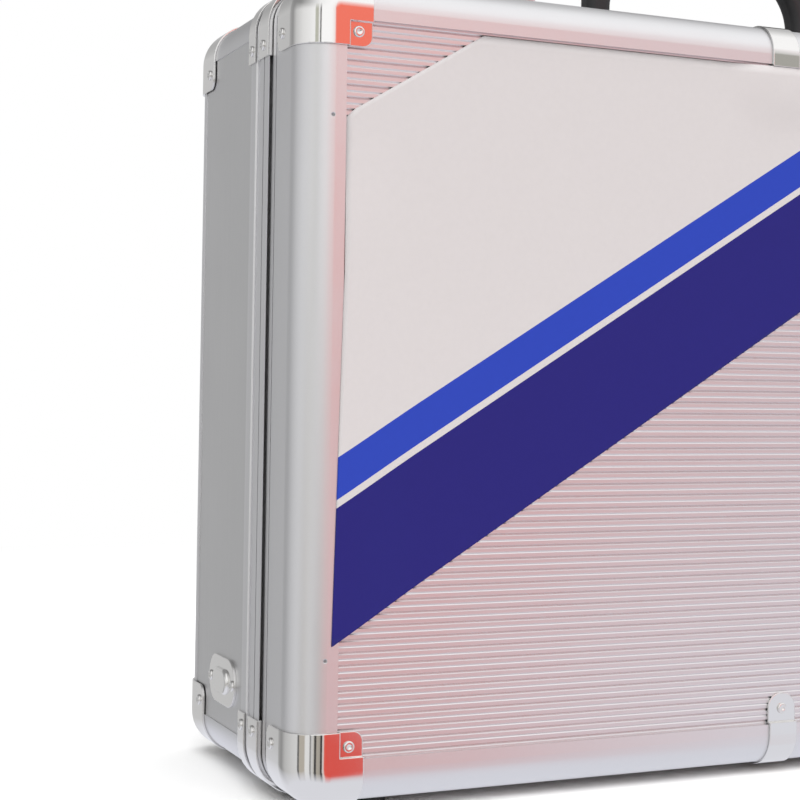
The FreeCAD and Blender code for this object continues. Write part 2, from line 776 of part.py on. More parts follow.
def make_liners():
    """Foam trays in the base and in the lid."""
    half = side - dim.liner_side_gap
    low, high = bottom + dim.liner_top_gap, top - dim.liner_top_gap
    rim = base_start + dim.liner_rim_drop
    pallet_back = split - dim.pallet_drop - dim.pallet_thickness
    trays = {"base_liner": (rim, base_board_front, rim - dim.overrun, base_board_front - dim.liner_floor),
             "lid_liner": (lid_board_rear, pallet_back, lid_board_rear + dim.liner_floor, far(pallet_back))}
    for label, (y_low, y_high, hollow_low, hollow_high) in trays.items():
        body = make_body(label)
        extrude(body, "Y", y_low, y_high,
                lambda sketch: draw_rounded_box(sketch, -half, half, low, high, dim.liner_corner))
        inner = half - dim.liner_wall
        cut(body, "Y", hollow_low, hollow_high,
            lambda sketch: draw_box(sketch, -inner, inner, low + dim.liner_wall, high - dim.liner_wall))


def make_tool_board():
    """Tool board on the lid's tray, with elastic bands across it."""
    half = side - dim.liner_side_gap
    low, high = bottom + dim.liner_top_gap, top - dim.liner_top_gap
    face = split - dim.pallet_drop
    extrude(make_body("tool_board"), "Y", face - dim.pallet_thickness, face,
            lambda sketch: draw_rounded_box(sketch, -half, half, low, high, dim.liner_corner))
    bands = make_body("tool_bands")
    reach = half - dim.band_margin
    for step in (-1, 0, 1):
        centre = middle + dim.band_spacing * step
        b_low, b_high = centre - dim.band_width / 2, centre + dim.band_width / 2
        extrude(bands, "Y", face, face + dim.band_thickness,
                lambda sketch: draw_box(sketch, -reach, reach, b_low, b_high))


# Hinges

KNUCKLES = 5


def hinge_length():
    """Return the length of one hinge."""
    return dim.knuckle_length * KNUCKLES


def make_hinge_leaves(label, sign, own):
    """Leaf with every other knuckle; sign is the side of the seam and own the numbers of its knuckles."""
    body = make_body(label)
    start = dim.hinge_offset - hinge_length() / 2
    y_near = split + (dim.barrel_radius + dim.barrel_clearance) * sign
    y_far = split + dim.leaf_reach * sign
    y_low, y_high = in_order(y_near, y_far)
    leaf_low = bottom - dim.leaf_thickness
    extrude(body, "Z", leaf_low, bottom,
            lambda sketch: draw_box(sketch, start, start + hinge_length(), y_low, y_high))
    bore = dim.hinge_pin_radius + dim.bore_clearance
    for number in own:
        x_low = start + dim.knuckle_length * number + dim.knuckle_gap / 2
        x_high = start + dim.knuckle_length * (number + 1) - dim.knuckle_gap / 2
        y_root = split + bore * sign
        w_low, w_high = in_order(y_root, y_near)
        extrude(body, "X", x_low, x_high, lambda sketch: draw_box(sketch, w_low, w_high, leaf_low, bottom))
        extrude(body, "X", x_low, x_high,
                lambda sketch: draw_circle(sketch, split, hinge_height, dim.barrel_radius))
        cut(body, "X", x_low, x_high, lambda sketch: draw_circle(sketch, split, hinge_height, bore))
    mirror_pair(body)


def make_hinge_pins():
    """Pins through the hinge knuckles."""
    body = make_body("hinge_pins")
    start = dim.hinge_offset - hinge_length() / 2
    extrude(body, "X", start, start + hinge_length(),
            lambda sketch: draw_circle(sketch, split, hinge_height, dim.hinge_pin_radius))
    mirror_pair(body)


# Feet

def make_feet(label, along, seat):
    """Two round feet under the case."""
    body = make_body(label)
    extrude(body, "Z", NOTHING, seat,
            lambda sketch: draw_circle(sketch, side - dim.foot_side_inset, along, dim.foot_radius))
    round_edges(body, dim.foot_rounding, lambda edge: lies_at(edge, "Z", NOTHING))
    mirror_pair(body)


# Handle

handle_y = base_lip_rear + dim.handle_setback
handle_pivot = top + dim.handle_pivot_height
handle_inner = dim.handle_inner_span / 2
handle_outer = handle_inner + dim.handle_leg_width
wall_top = top - dim.board_inset
plate_top = wall_top + dim.bracket_plate


def make_handle():
    """Moulded grip: a rounded bar on two legs whose ends are round about the pivot."""
    body = make_body("handle_grip")
    y_low, y_high = handle_y - dim.handle_depth / 2, handle_y + dim.handle_depth / 2
    crown = handle_pivot + dim.handle_rise
    under = crown - dim.handle_bar
    extrude(body, "Y", y_low, y_high, lambda sketch: draw_polygon(sketch, [
        (-handle_outer, handle_pivot), (-handle_inner, handle_pivot),
        (-handle_inner, under), (handle_inner, under),
        (handle_inner, handle_pivot), (handle_outer, handle_pivot),
        (handle_outer, crown), (-handle_outer, crown)]))
    round_edges(body, dim.handle_inner_corner,
                lambda edge: runs_along(edge, "Y") and close(edge.BoundBox.ZMin, under.value))
    round_edges(body, dim.handle_outer_corner,
                lambda edge: runs_along(edge, "Y") and close(edge.BoundBox.ZMin, crown.value))
    round_edges(body, dim.handle_rounding,
                lambda edge: (lies_at(edge, "Y", y_low) or lies_at(edge, "Y", y_high))
                and not lies_at(edge, "Z", handle_pivot))
    bore = dim.handle_pin_radius + dim.bore_clearance
    for x_low, x_high in ((handle_inner, handle_outer), (-handle_outer, -handle_inner)):
        extrude(body, "X", x_low, x_high,
                lambda sketch: draw_circle(sketch, handle_y, handle_pivot, dim.handle_depth / 2))
    cut(body, "X", -far(handle_outer), far(handle_outer),
        lambda sketch: draw_circle(sketch, handle_y, handle_pivot, bore))


def make_handle_brackets():
    """Chromed brackets with two ears for each leg of the handle."""
    body = make_body("handle_brackets")
    x_mid = (handle_inner + handle_outer) / 2
    x_low, x_high = x_mid - dim.bracket_length / 2, x_mid + dim.bracket_length / 2
    y_low, y_high = handle_y - dim.bracket_width / 2, handle_y + dim.bracket_width / 2
    extrude(body, "Z", wall_top, plate_top, lambda sketch: draw_box(sketch, x_low, x_high, y_low, y_high))
    round_edges(body, dim.bracket_corner, lambda edge: runs_along(edge, "Z"))
    inner_face = handle_inner - dim.bracket_gap
    outer_face = handle_outer + dim.bracket_gap
    radius = dim.bracket_ear_radius
    bore = dim.handle_pin_radius + dim.bore_clearance
    inner_ear = (inner_face - dim.bracket_ear, inner_face)
    outer_ear = (outer_face, outer_face + dim.bracket_ear)
    for e_low, e_high in (inner_ear, outer_ear):
        extrude(body, "X", e_low, e_high, lambda sketch: draw_box(
            sketch, handle_y - radius, handle_y + radius, plate_top, handle_pivot))
        extrude(body, "X", e_low, e_high, lambda sketch: draw_circle(sketch, handle_y, handle_pivot, radius))
        cut(body, "X", e_low, e_high, lambda sketch: draw_circle(sketch, handle_y, handle_pivot, bore))
    mirror_pair(body)


def make_handle_pins():
    """Pins with flat heads through the brackets and the handle's legs."""
    body = make_body("handle_pins")
    x_low = handle_inner - dim.bracket_gap - dim.bracket_ear
    x_high = handle_outer + dim.bracket_gap + dim.bracket_ear
    extrude(body, "X", x_low, x_high,
            lambda sketch: draw_circle(sketch, handle_y, handle_pivot, dim.handle_pin_radius))
    for h_low, h_high in ((x_low - dim.handle_pin_head, x_low), (x_high, x_high + dim.handle_pin_head)):
        extrude(body, "X", h_low, h_high,
                lambda sketch: draw_circle(sketch, handle_y, handle_pivot, dim.handle_pin_head_radius))
    mirror_pair(body)


# Latches

latch_y = split + dim.latch_setback
latch_z = top + dim.latch_pivot_height
ear_gap = dim.bracket_gap
lever_half = dim.lever_width / 2


def make_latch_plates():
    """Latch plates on the base with two ears each."""
    body = make_body("latch_base_plates")
    x_low, x_high = dim.latch_offset - dim.latch_width / 2, dim.latch_offset + dim.latch_width / 2
    y_low, y_high = base_lip_rear + dim.bracket_gap, latch_y + dim.latch_plate_rear
    extrude(body, "Z", wall_top, plate_top, lambda sketch: draw_box(sketch, x_low, x_high, y_low, y_high))
    radius = dim.lever_barrel_radius
    inner_reach = lever_half + ear_gap
    outer_reach = inner_reach + dim.bracket_ear
    for e_low, e_high in ((dim.latch_offset - outer_reach, dim.latch_offset - inner_reach),
                          (dim.latch_offset + inner_reach, dim.latch_offset + outer_reach)):
        extrude(body, "X", e_low, e_high,
                lambda sketch: draw_box(sketch, latch_y - radius, latch_y + radius, plate_top, latch_z))
        extrude(body, "X", e_low, e_high, lambda sketch: draw_circle(sketch, latch_y, latch_z, radius))
        cut(body, "X", e_low, e_high,
            lambda sketch: draw_circle(sketch, latch_y, latch_z, dim.lever_pin_radius + dim.bore_clearance))
    mirror_pair(body)


def make_latch_pins():
    """Pins that the latch levers turn on."""
    body = make_body("latch_pins")
    reach = lever_half + ear_gap + dim.bracket_ear
    extrude(body, "X", dim.latch_offset - reach, dim.latch_offset + reach,
            lambda sketch: draw_circle(sketch, latch_y, latch_z, dim.lever_pin_radius))
    mirror_pair(body)


def make_keepers():
    """Keepers that cap the lid's lip where the latches hook over it."""
    body = make_body("latch_keepers")
    lip_top = top + dim.lip_proud
    x_low, x_high = dim.latch_offset - lever_half, dim.latch_offset + lever_half
    fold = lid_lip_front - dim.keeper_thickness
    crown = lip_top + dim.keeper_thickness
    extrude(body, "X", x_low, x_high, lambda sketch: draw_polygon(sketch, [
        (fold, top), (lid_lip_front, top), (lid_lip_front, lip_top), (lid_lip_rear, lip_top),
        (lid_lip_rear, crown), (fold, crown)]))
    mirror_pair(body)


def latch_placement(sign):
    """Return the resting place of a lever and its lock: raised just clear of the keeper."""
    turn = Rotation(Vector(1, 0, 0), -dim.latch_raised_angle.value)
    return Placement(Vector((dim.latch_offset * sign).value, latch_y.value, latch_z.value), turn)


lever_under = -dim.lever_drop
lever_face = lever_under + dim.lever_thickness
lock_y = -dim.lock_setback


def make_latch_lever(label, sign):
    """Lever with a barrel on its pin, a tooth that hooks over the keeper and a finger tip."""
    body = make_body(label)
    tooth_rear = lid_lip_front - dim.keeper_thickness - dim.tooth_clearance - latch_y
    tooth_front = tooth_rear - dim.tooth_thickness
    tip = tooth_front - dim.lever_tip
    tooth_low = top + dim.tooth_clearance - latch_z
    extrude(body, "X", -lever_half, lever_half, lambda sketch: draw_polygon(sketch, [
        (tip, lever_under), (tooth_front, lever_under), (tooth_front, tooth_low), (tooth_rear, tooth_low),
        (tooth_rear, lever_under), (NOTHING, lever_under), (NOTHING, lever_face), (tip, lever_face)]))
    round_edges(body, dim.lever_corner,
                lambda edge: runs_along(edge, "Z") and close(edge.BoundBox.YMin, tip.value))
    round_edges(body, dim.lever_rounding, lambda edge: lies_at(edge, "Z", lever_face)
                and not lies_at(edge, "Y", NOTHING))
    extrude(body, "X", -lever_half, lever_half,
            lambda sketch: draw_circle(sketch, NOTHING, NOTHING, dim.lever_barrel_radius))
    cut(body, "X", -far(lever_half), far(lever_half),
        lambda sketch: draw_circle(sketch, NOTHING, NOTHING, dim.lever_pin_radius + dim.bore_clearance))
    cut(body, "Z", lever_under - dim.overrun, far(lever_face),
        lambda sketch: draw_circle(sketch, NOTHING, lock_y, dim.lock_radius + dim.bore_clearance))
    body.Placement = latch_placement(sign)


def make_lock_core(label, sign):
    """Lock core in the lever, with a key slot."""
    body = make_body(label)
    face = lever_face + dim.lock_proud
    extrude(body, "Z", lever_under, face,
            lambda sketch: draw_circle(sketch, NOTHING, lock_y, dim.lock_radius))
    half_long, half_wide = dim.key_slot_length / 2, dim.key_slot_width / 2
    cut(body, "Z", face - dim.key_slot_depth, far(face),
        lambda sketch: draw_box(sketch, -half_wide, half_wide, lock_y - half_long, lock_y + half_long))
    body.Placement = latch_placement(sign)


# Lid stays

stay_wall = side - base_inner_inset
stay_y = base_lip_rear + (rear_frame_front - base_lip_rear) * dim.stay_depth_share
stay_z = bottom + dim.stay_height
stay_lid_y, stay_lid_z = split - dim.stay_lid_depth, bottom + dim.stay_lid_height
base_arm_outer = stay_wall - dim.stay_plate - dim.arm_gap
base_arm_inner = base_arm_outer - dim.arm_thickness
lid_arm_outer = base_arm_inner - dim.arm_gap
lid_arm_inner = lid_arm_outer - dim.arm_thickness
stud_bore = dim.stud_radius + dim.bore_clearance
elbow_bore = dim.stud_radius + dim.elbow_clearance


def direction_turn(y, z):
    """Return the turn about X that brings +Z to a direction."""
    return Rotation(Vector(1, 0, 0), math.degrees(math.atan2(-y.value, z.value)))


def make_arm(label, lane, reach, along, height, turn):
    """Flat stay arm with round ends and a bore at its pivot."""
    body = make_body(label)
    half = dim.arm_width / 2
    extrude(body, "X", *lane, lambda sketch: draw_box(sketch, -half, half, NOTHING, reach))
    for end in (NOTHING, reach):
        extrude(body, "X", *lane, lambda sketch: draw_circle(sketch, NOTHING, end, half))
    cut(body, "X", *lane, lambda sketch: draw_circle(sketch, NOTHING, NOTHING, stud_bore))
    body.Placement = Placement(Vector(0, along.value, height.value), turn)
    return body


def make_stay_arms(hand, sign):
    """Two arms of one stay, joined by a rivet at the elbow.

    With the lid's hinge they make a parallelogram: the base arm matches the way from the hinge to the
    lid's pivot and the lid arm the way from the hinge to the base's pivot, so the elbow stays joined.
    """
    lid_run, lid_rise = stay_lid_y - split, stay_lid_z - hinge_height
    base_run, base_rise = stay_y - split, stay_z - hinge_height
    base_lane = in_order(base_arm_inner * sign, base_arm_outer * sign)
    lid_lane = in_order(lid_arm_inner * sign, lid_arm_outer * sign)
    base_reach, lid_reach = hypotenuse(lid_run, lid_rise), hypotenuse(base_run, base_rise)
    base_arm = make_arm(f"stay_base_arm_{hand}", base_lane, base_reach, stay_y, stay_z,
                        direction_turn(lid_run, lid_rise))
    pin_end = lid_arm_inner - dim.arm_gap / 2
    extrude(base_arm, "X", *in_order(base_arm_inner * sign, pin_end * sign),
            lambda sketch: draw_circle(sketch, NOTHING, base_reach, dim.stud_radius))
    extrude(base_arm, "X", *in_order(pin_end * sign, (pin_end - dim.stud_head) * sign),
            lambda sketch: draw_circle(sketch, NOTHING, base_reach, dim.stud_head_radius))
    lid_arm = make_arm(f"stay_lid_arm_{hand}", lid_lane, lid_reach, stay_lid_y, stay_lid_z,
                       direction_turn(base_run, base_rise))
    cut(lid_arm, "X", *lid_lane, lambda sketch: draw_circle(sketch, NOTHING, lid_reach, elbow_bore))


def make_stays():
    """Arms, brackets and outer plates of the two folding lid stays."""
    make_stay_arms("left", -1)
    make_stay_arms("right", 1)
    make_stay_bracket("stay_base_brackets", stay_y, stay_z, stay_wall, base_arm_outer, base_arm_inner)
    make_stay_bracket("stay_lid_brackets", stay_lid_y, stay_lid_z, side - dim.shell_wall,
                      lid_arm_outer, lid_arm_inner)
    plates = make_body("stay_outer_plates")
    wall_face = side - dim.board_inset
    half_long, half_high = dim.stay_plate_length / 2, dim.stay_plate_height / 2
    face = wall_face + dim.stay_plate
    extrude(plates, "X", wall_face, face, lambda sketch: draw_rounded_box(
        sketch, stay_y - half_long, stay_y + half_long, stay_z - half_high, stay_z + half_high,
        half_high * dim.stay_plate_end_share))
    boss_long, boss_high = dim.stay_boss_length / 2, dim.stay_boss_width / 2
    extrude(plates, "X", face, face + dim.stay_boss_height, lambda sketch: draw_rounded_box(
        sketch, stay_y - boss_long, stay_y + boss_long, stay_z - boss_high, stay_z + boss_high,
        boss_high * dim.stay_plate_end_share))
    round_edges(plates, dim.stay_boss_rounding,
                lambda edge: lies_at(edge, "X", face + dim.stay_boss_height))
    mirror_pair(plates)


def make_stay_bracket(label, along, height, wall, arm_outer, arm_inner):
    """Round bracket on a wall with a shouldered stud that carries an arm."""
    body = make_body(label)
    half = dim.arm_width / 2
    shoulder = arm_outer + dim.arm_gap / 2
    plate_face = wall - dim.stay_plate
    extrude(body, "X", plate_face, wall, lambda sketch: draw_circle(sketch, along, height, dim.arm_width))
    if shoulder.value < plate_face.value:
        extrude(body, "X", shoulder, plate_face, lambda sketch: draw_circle(sketch, along, height, half))
    stud_end = arm_inner - dim.arm_gap / 2
    extrude(body, "X", stud_end, wall, lambda sketch: draw_circle(sketch, along, height, dim.stud_radius))
    extrude(body, "X", stud_end - dim.stud_head, stud_end,
            lambda sketch: draw_circle(sketch, along, height, dim.stud_head_radius))
    mirror_pair(body)


# Build the case

def build():
    """Make every piece of the case."""
    make_lid_frame()
    make_rear_frame()
    make_lid_lip()
    make_base_lip()
    make_ribbed_board("lid_front_panel", front + dim.shell_wall, 1)
    make_ribbed_board("base_rear_panel", rear - dim.shell_wall, -1)
    make_base_walls()
    make_corner_strips()
    for corner, signs in CORNERS.items():
        make_corner_cap(f"lid_cap_{corner}", *signs, front, 1)
        make_corner_cap(f"base_cap_{corner}", *signs, rear, -1)
    make_lip_tabs("lid_lip_tabs", lid_lip_front, lid_lip_rear, lid_lip_front - dim.tab_wall,
                  lid_lip_front - dim.cap_seat)
    make_lip_tabs("base_lip_tabs", base_lip_front, base_lip_rear, base_lip_rear + dim.tab_wall,
                  base_lip_rear + dim.cap_seat)
    make_joint_straps("lid_joint_straps", front, lid_lip_front - dim.cap_seat, 1)
    make_joint_straps("base_joint_straps", rear, rear_frame_front, -1)
    lid_lip_middle = (lid_lip_front + lid_lip_rear) / 2
    base_lip_middle = (base_lip_front + base_lip_rear) / 2
    make_rivets("lid_rivets", cap_rivet_places(front, 1) + strap_rivet_places(front, 1)
                + tab_rivet_places(lid_lip_middle))
    make_rivets("base_rivets", cap_rivet_places(rear, -1) + strap_rivet_places(rear, -1)
                + tab_rivet_places(base_lip_middle) + stay_plate_rivet_places())
    make_liners()
    make_tool_board()
    make_hinge_leaves("hinge_base_leaves", 1, range(0, KNUCKLES, 2))
    make_hinge_leaves("hinge_lid_leaves", -1, range(1, KNUCKLES, 2))
    make_hinge_pins()
    make_feet("lid_feet", front + dim.foot_end_inset, bottom)
    make_feet("base_feet", rear - dim.foot_end_inset, bottom + dim.board_inset)
    make_handle()
    make_handle_brackets()
    make_handle_pins()
    make_latch_plates()
    make_latch_pins()
    make_keepers()
    for hand, sign in (("left", -1), ("right", 1)):
        make_latch_lever(f"latch_lever_{hand}", sign)
        make_lock_core(f"latch_lock_{hand}", sign)
    make_stays()


def check():
    """Stop if any object of the document failed or any piece has no sound shape."""
    doc.recompute()
    failed = [item.Name for item in doc.Objects if "Invalid" in item.State or "Error" in item.State]
    if failed:
        raise ValueError(f"objects that failed: {failed}")
    for node in NODES:
        if node.Shape.isNull() or not node.Shape.isValid() or node.Shape.Volume <= 0:
            raise ValueError(f"{node.Label} has no sound shape")


build()
check()
os.makedirs("parts", exist_ok=True)
for node in NODES:
    node.Shape.exportStep(f"parts/{node.Label}.step")
    print(node.Label, "solids", len(node.Shape.Solids), "volume", round(node.Shape.Volume, 1))
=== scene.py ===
"""Looks of the aluminium tool case: finishes, printed sheet, foam lining, studio and camera."""

import json
import logging
import math
from dataclasses import dataclass, field
from enum import Enum
from typing import Any

import bmesh
import bpy
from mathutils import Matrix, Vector


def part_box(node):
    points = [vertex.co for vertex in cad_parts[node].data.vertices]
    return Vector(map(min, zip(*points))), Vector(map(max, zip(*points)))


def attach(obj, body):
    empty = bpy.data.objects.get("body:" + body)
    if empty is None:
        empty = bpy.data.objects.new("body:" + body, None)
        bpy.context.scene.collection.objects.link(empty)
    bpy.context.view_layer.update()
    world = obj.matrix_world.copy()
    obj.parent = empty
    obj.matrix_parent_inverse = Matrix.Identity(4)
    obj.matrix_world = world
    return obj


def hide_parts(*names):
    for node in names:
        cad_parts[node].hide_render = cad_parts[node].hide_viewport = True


LOG = logging.getLogger("aluminium_case")
WELD_REACH = 0.00001
Colour = tuple[float, float, float]
Place = tuple[float, float]
Span = tuple[float, float]
Stops = list[tuple[float, Colour]]
Socket = bpy.types.NodeSocket
Vert = bmesh.types.BMVert

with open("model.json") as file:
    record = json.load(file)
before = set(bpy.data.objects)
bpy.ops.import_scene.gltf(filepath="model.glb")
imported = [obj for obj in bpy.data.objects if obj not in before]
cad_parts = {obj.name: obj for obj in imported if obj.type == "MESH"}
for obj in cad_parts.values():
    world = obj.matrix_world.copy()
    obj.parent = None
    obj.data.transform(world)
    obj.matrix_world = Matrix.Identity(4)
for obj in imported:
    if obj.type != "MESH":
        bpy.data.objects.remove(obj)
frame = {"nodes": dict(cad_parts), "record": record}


def srgb(red: int, green: int, blue: int) -> Colour:
    """Turn an 8-bit display colour into linear light.

    Args:
        red: Red from 0 to 255.
        green: Green from 0 to 255.
        blue: Blue from 0 to 255.

    Returns:
        The linear colour.
    """
    def linear(value: int) -> float:
        share = value / 255
        return share / 12.92 if share <= 0.04045 else ((share + 0.055) / 1.055) ** 2.4
    return linear(red), linear(green), linear(blue)


def grey(share: float) -> Colour:
    """Return a neutral linear colour of this brightness."""
    return share, share, share


def soft_step(share: float) -> float:
    """Ease a share in and out between 0 and 1."""
    share = min(max(share, 0.0), 1.0)
    return share * share * (3.0 - 2.0 * share)


class Graph:
    """Small builder round one node tree."""

    def __init__(self, tree: bpy.types.NodeTree) -> None:
        """Keep the node tree to add to."""
        self.tree = tree

    def add(self, kind: str, inputs: dict[str | int, Any] | None = None,
            **settings: Any) -> bpy.types.Node:
        """Add one node and feed its inputs.

        Args:
            kind: Name of the node type.
            inputs: Values or sockets for the node's inputs, by name or number.
            **settings: Attributes of the node.

        Returns:
            The new node.
        """
        node = self.tree.nodes.new(kind)
        for name, value in settings.items():
            setattr(node, name, value)
        for key, value in (inputs or {}).items():
            self.feed(node.inputs[key], value)
        return node

    def feed(self, target: Socket, value: Any) -> None:
        """Link a socket to an input, or set a constant on it.

        Args:
            target: The input.
            value: A socket, a number or a tuple.
        """
        if isinstance(value, bpy.types.NodeSocket):
            self.tree.links.new(value, target)
        elif target.type == "RGBA" and len(value) == 3:
            target.default_value = (*value, 1.0)
        else:
            target.default_value = value

    def math(self, operation: str, first: Any, second: Any = 0.0, third: Any = 0.0) -> Socket:
        """Add a Math node and return its output."""
        return self.add("ShaderNodeMath", {0: first, 1: second, 2: third}, operation=operation).outputs[0]

    def vector(self, operation: str, first: Any, second: Any = (0.0, 0.0, 0.0)) -> Any:
        """Add a Vector Math node and return its outputs."""
        return self.add("ShaderNodeVectorMath", {0: first, 1: second}, operation=operation).outputs

    def scaled(self, vector: Any, share: Any) -> Socket:
        """Multiply a vector or a colour by a share."""
        return self.add("ShaderNodeVectorMath", {0: vector, 3: share}, operation="SCALE").outputs[0]

    def span(self, value: Any, low: float, high: float, start: float = 0.0, **settings: Any) -> Socket:
        """Map the values from low to high onto shares from start to 1."""
        inputs = {"Value": value, "From Min": low, "From Max": high, "To Min": start}
        return self.add("ShaderNodeMapRange", inputs, **settings).outputs[0]

    def noise(self, place: Any, scale: Any, detail: float, roughness: float = 0.5) -> Socket:
        """Add a noise texture and return its value from 0 to 1."""
        inputs = {"Vector": place, "Scale": scale, "Detail": detail, "Roughness": roughness}
        return self.add("ShaderNodeTexNoise", inputs).outputs[0]

    def bump(self, height: Any, distance: float) -> bpy.types.Node:
        """Add a Bump node of full strength and this depth."""
        return self.add("ShaderNodeBump", {"Height": height, "Distance": distance, "Strength": 1.0})

    def group(self, tree: bpy.types.NodeTree, **inputs: Any) -> Socket:
        """Use a node group that has one output.

        Args:
            tree: The group.
            **inputs: Values or sockets by input name.

        Returns:
            The group's output.
        """
        node = self.add("ShaderNodeGroup", node_tree=tree)
        for name, value in inputs.items():
            self.feed(node.inputs[name], value)
        return node.outputs[0]

    def mix(self, share: Any, first: Any, second: Any) -> Socket:
        """Mix two colours.

        Args:
            share: Share of the second colour.
            first: First colour.
            second: Second colour.

        Returns:
            The mixed colour.
        """
        node = self.add("ShaderNodeMix", data_type="RGBA")
        self.feed(node.inputs["Factor"], share)
        self.feed(node.inputs[6], first)
        self.feed(node.inputs[7], second)
        return node.outputs[2]

    def mix_shaders(self, share: Any, first: bpy.types.Node, second: bpy.types.Node) -> bpy.types.Node:
        """Mix two shaders by the share of the second."""
        return self.add("ShaderNodeMixShader", {0: share, 1: first.outputs[0], 2: second.outputs[0]})

    def ramp(self, share: Any, stops: Stops, constant: bool = False) -> Socket:
        """Add a colour ramp.

        Args:
            share: Where on the ramp.
            stops: Places and colours.
            constant: True for hard steps.

        Returns:
            The colour.
        """
        node = self.add("ShaderNodeValToRGB", {0: share})
        ramp = node.color_ramp
        ramp.interpolation = "CONSTANT" if constant else "LINEAR"
        for place, _ in stops[2:]:
            ramp.elements.new(place)
        for element, (place, colour) in zip(ramp.elements, stops):
            element.position = place
            element.color = (*colour, 1.0)
        return node.outputs[0]


def start_group(name: str, inputs: dict[str, str], outputs: dict[str, str]) -> tuple[Graph, Any, Any]:
    """Start a shader node group.

    Args:
        name: The group's name.
        inputs: Input names and socket types.
        outputs: Output names and socket types.

    Returns:
        The graph, the group's inputs and its outputs.
    """
    tree = bpy.data.node_groups.new(name, "ShaderNodeTree")
    for label, kind in inputs.items():
        tree.interface.new_socket(label, in_out="INPUT", socket_type=kind)
    for label, kind in outputs.items():
        tree.interface.new_socket(label, in_out="OUTPUT", socket_type=kind)
    graph = Graph(tree)
    return graph, graph.add("NodeGroupInput").outputs, graph.add("NodeGroupOutput").inputs


class Effects:
    """Node groups that the finishes share."""

    SMUDGE_SCALE = 22.0
    HAIRLINE_SCALE = 260.0
    HAIRLINE_SHARE = 0.5
    MEAN_MARKS = 0.75
    FUZZ_SCALE = 2.5
    FUZZ_SHARE = 0.6
    PUNCH_MIDDLE = (0.0, 0.0, 0.1685)
    PUNCH_PLACE = (0.2144, 0.076, 0.1074)
    PUNCH_RADII = (0.0002, 0.0010)
    CREVICE_SPAN = (0.08, 0.5)
    CREVICE_SHADE = 0.1
    CREVICE_SAMPLES = 8

    def __init__(self) -> None:
        """Build the groups."""
        self.marks = self.make_marks()
        self.grain = self.make_grain()
        self.nap = self.make_nap()
        self.dents = self.make_dents()
        self.painted_crevice_shade = self.make_painted_crevice_shade()

    def make_marks(self) -> bpy.types.NodeTree:
        """Handling marks: broad smudges and fine hairlines.

        Returns:
            The group: place and amount in, a signed roughness change out.
        """
        graph, inputs, outputs = start_group(
            "handling_marks", {"Place": "NodeSocketVector", "Amount": "NodeSocketFloat"},
            {"Change": "NodeSocketFloat"})
        broad = graph.noise(inputs["Place"], self.SMUDGE_SCALE, detail=4.0)
        fine = graph.noise(inputs["Place"], self.HAIRLINE_SCALE, detail=3.0)
        broad = graph.math("SUBTRACT", broad, self.MEAN_MARKS)
        both = graph.math("MULTIPLY_ADD", fine, self.HAIRLINE_SHARE, broad)
        graph.feed(outputs["Change"], graph.math("MULTIPLY", both, inputs["Amount"]))
        return graph.tree

    @staticmethod
    def make_grain() -> bpy.types.NodeTree:
        """Brushed or drawn grain: noise stretched along one axis.

        Returns:
            The group: place and stretch in, height out.
        """
        graph, inputs, outputs = start_group(
            "drawn_grain", {"Place": "NodeSocketVector", "Stretch": "NodeSocketVector"},
            {"Height": "NodeSocketFloat"})
        stretched = graph.vector("MULTIPLY", inputs["Place"], inputs["Stretch"])[0]
        graph.feed(outputs["Height"], graph.noise(stretched, scale=1.0, detail=5.0, roughness=0.6))
        return graph.tree

    def make_nap(self) -> bpy.types.NodeTree:
        """Open cells and fuzz of foam or felt.

        Returns:
            The group: place and scale in, height out.
        """
        graph, inputs, outputs = start_group(
            "foam_nap", {"Place": "NodeSocketVector", "Scale": "NodeSocketFloat"},
            {"Height": "NodeSocketFloat"})
        cells = graph.add("ShaderNodeTexVoronoi", {"Vector": inputs["Place"], "Scale": inputs["Scale"]})
        finer = graph.math("MULTIPLY", inputs["Scale"], self.FUZZ_SCALE)
        fuzz = graph.noise(inputs["Place"], finer, detail=4.0)
        height = graph.math("MULTIPLY_ADD", fuzz, self.FUZZ_SHARE, cells.outputs["Distance"])
        graph.feed(outputs["Height"], height)
        return graph.tree

    def make_dents(self) -> bpy.types.NodeTree:
        """Punch marks that stake the frames to their boards, two on each upright.

        Returns:
            The group: place in, height out.
        """
        graph, inputs, outputs = start_group(
            "punch_marks", {"Place": "NodeSocketVector"}, {"Height": "NodeSocketFloat"})
        middle = graph.vector("SUBTRACT", inputs["Place"], self.PUNCH_MIDDLE)[0]
        folded = graph.vector("ABSOLUTE", middle)[0]
        reach = graph.vector("DISTANCE", folded, self.PUNCH_PLACE)["Value"]
        rise = graph.span(reach, *self.PUNCH_RADII, interpolation_type="SMOOTHSTEP")
        graph.feed(outputs["Height"], rise)
        return graph.tree

    def make_painted_crevice_shade(self) -> bpy.types.NodeTree:
        """Painted shade that darkens the colour in narrow gaps, found by ambient occlusion.

        Returns:
            The group: reach in, a share of the colour out.
        """
        graph, inputs, outputs = start_group(
            "painted_crevice_shade", {"Reach": "NodeSocketFloat"}, {"Share": "NodeSocketFloat"})
        gaps = graph.add("ShaderNodeAmbientOcclusion", {"Distance": inputs["Reach"]},
                         samples=self.CREVICE_SAMPLES)
        share = graph.span(gaps.outputs["AO"], *self.CREVICE_SPAN, self.CREVICE_SHADE)
        graph.feed(outputs["Share"], share)
        return graph.tree


class Grain(Enum):
    """Directions of a drawn grain, as stretches of the noise in each axis per metre."""

    EVEN = (900.0, 900.0, 900.0)
    ALONG_X = (14.0, 1500.0, 1500.0)
    ALONG_Z = (1500.0, 1500.0, 14.0)


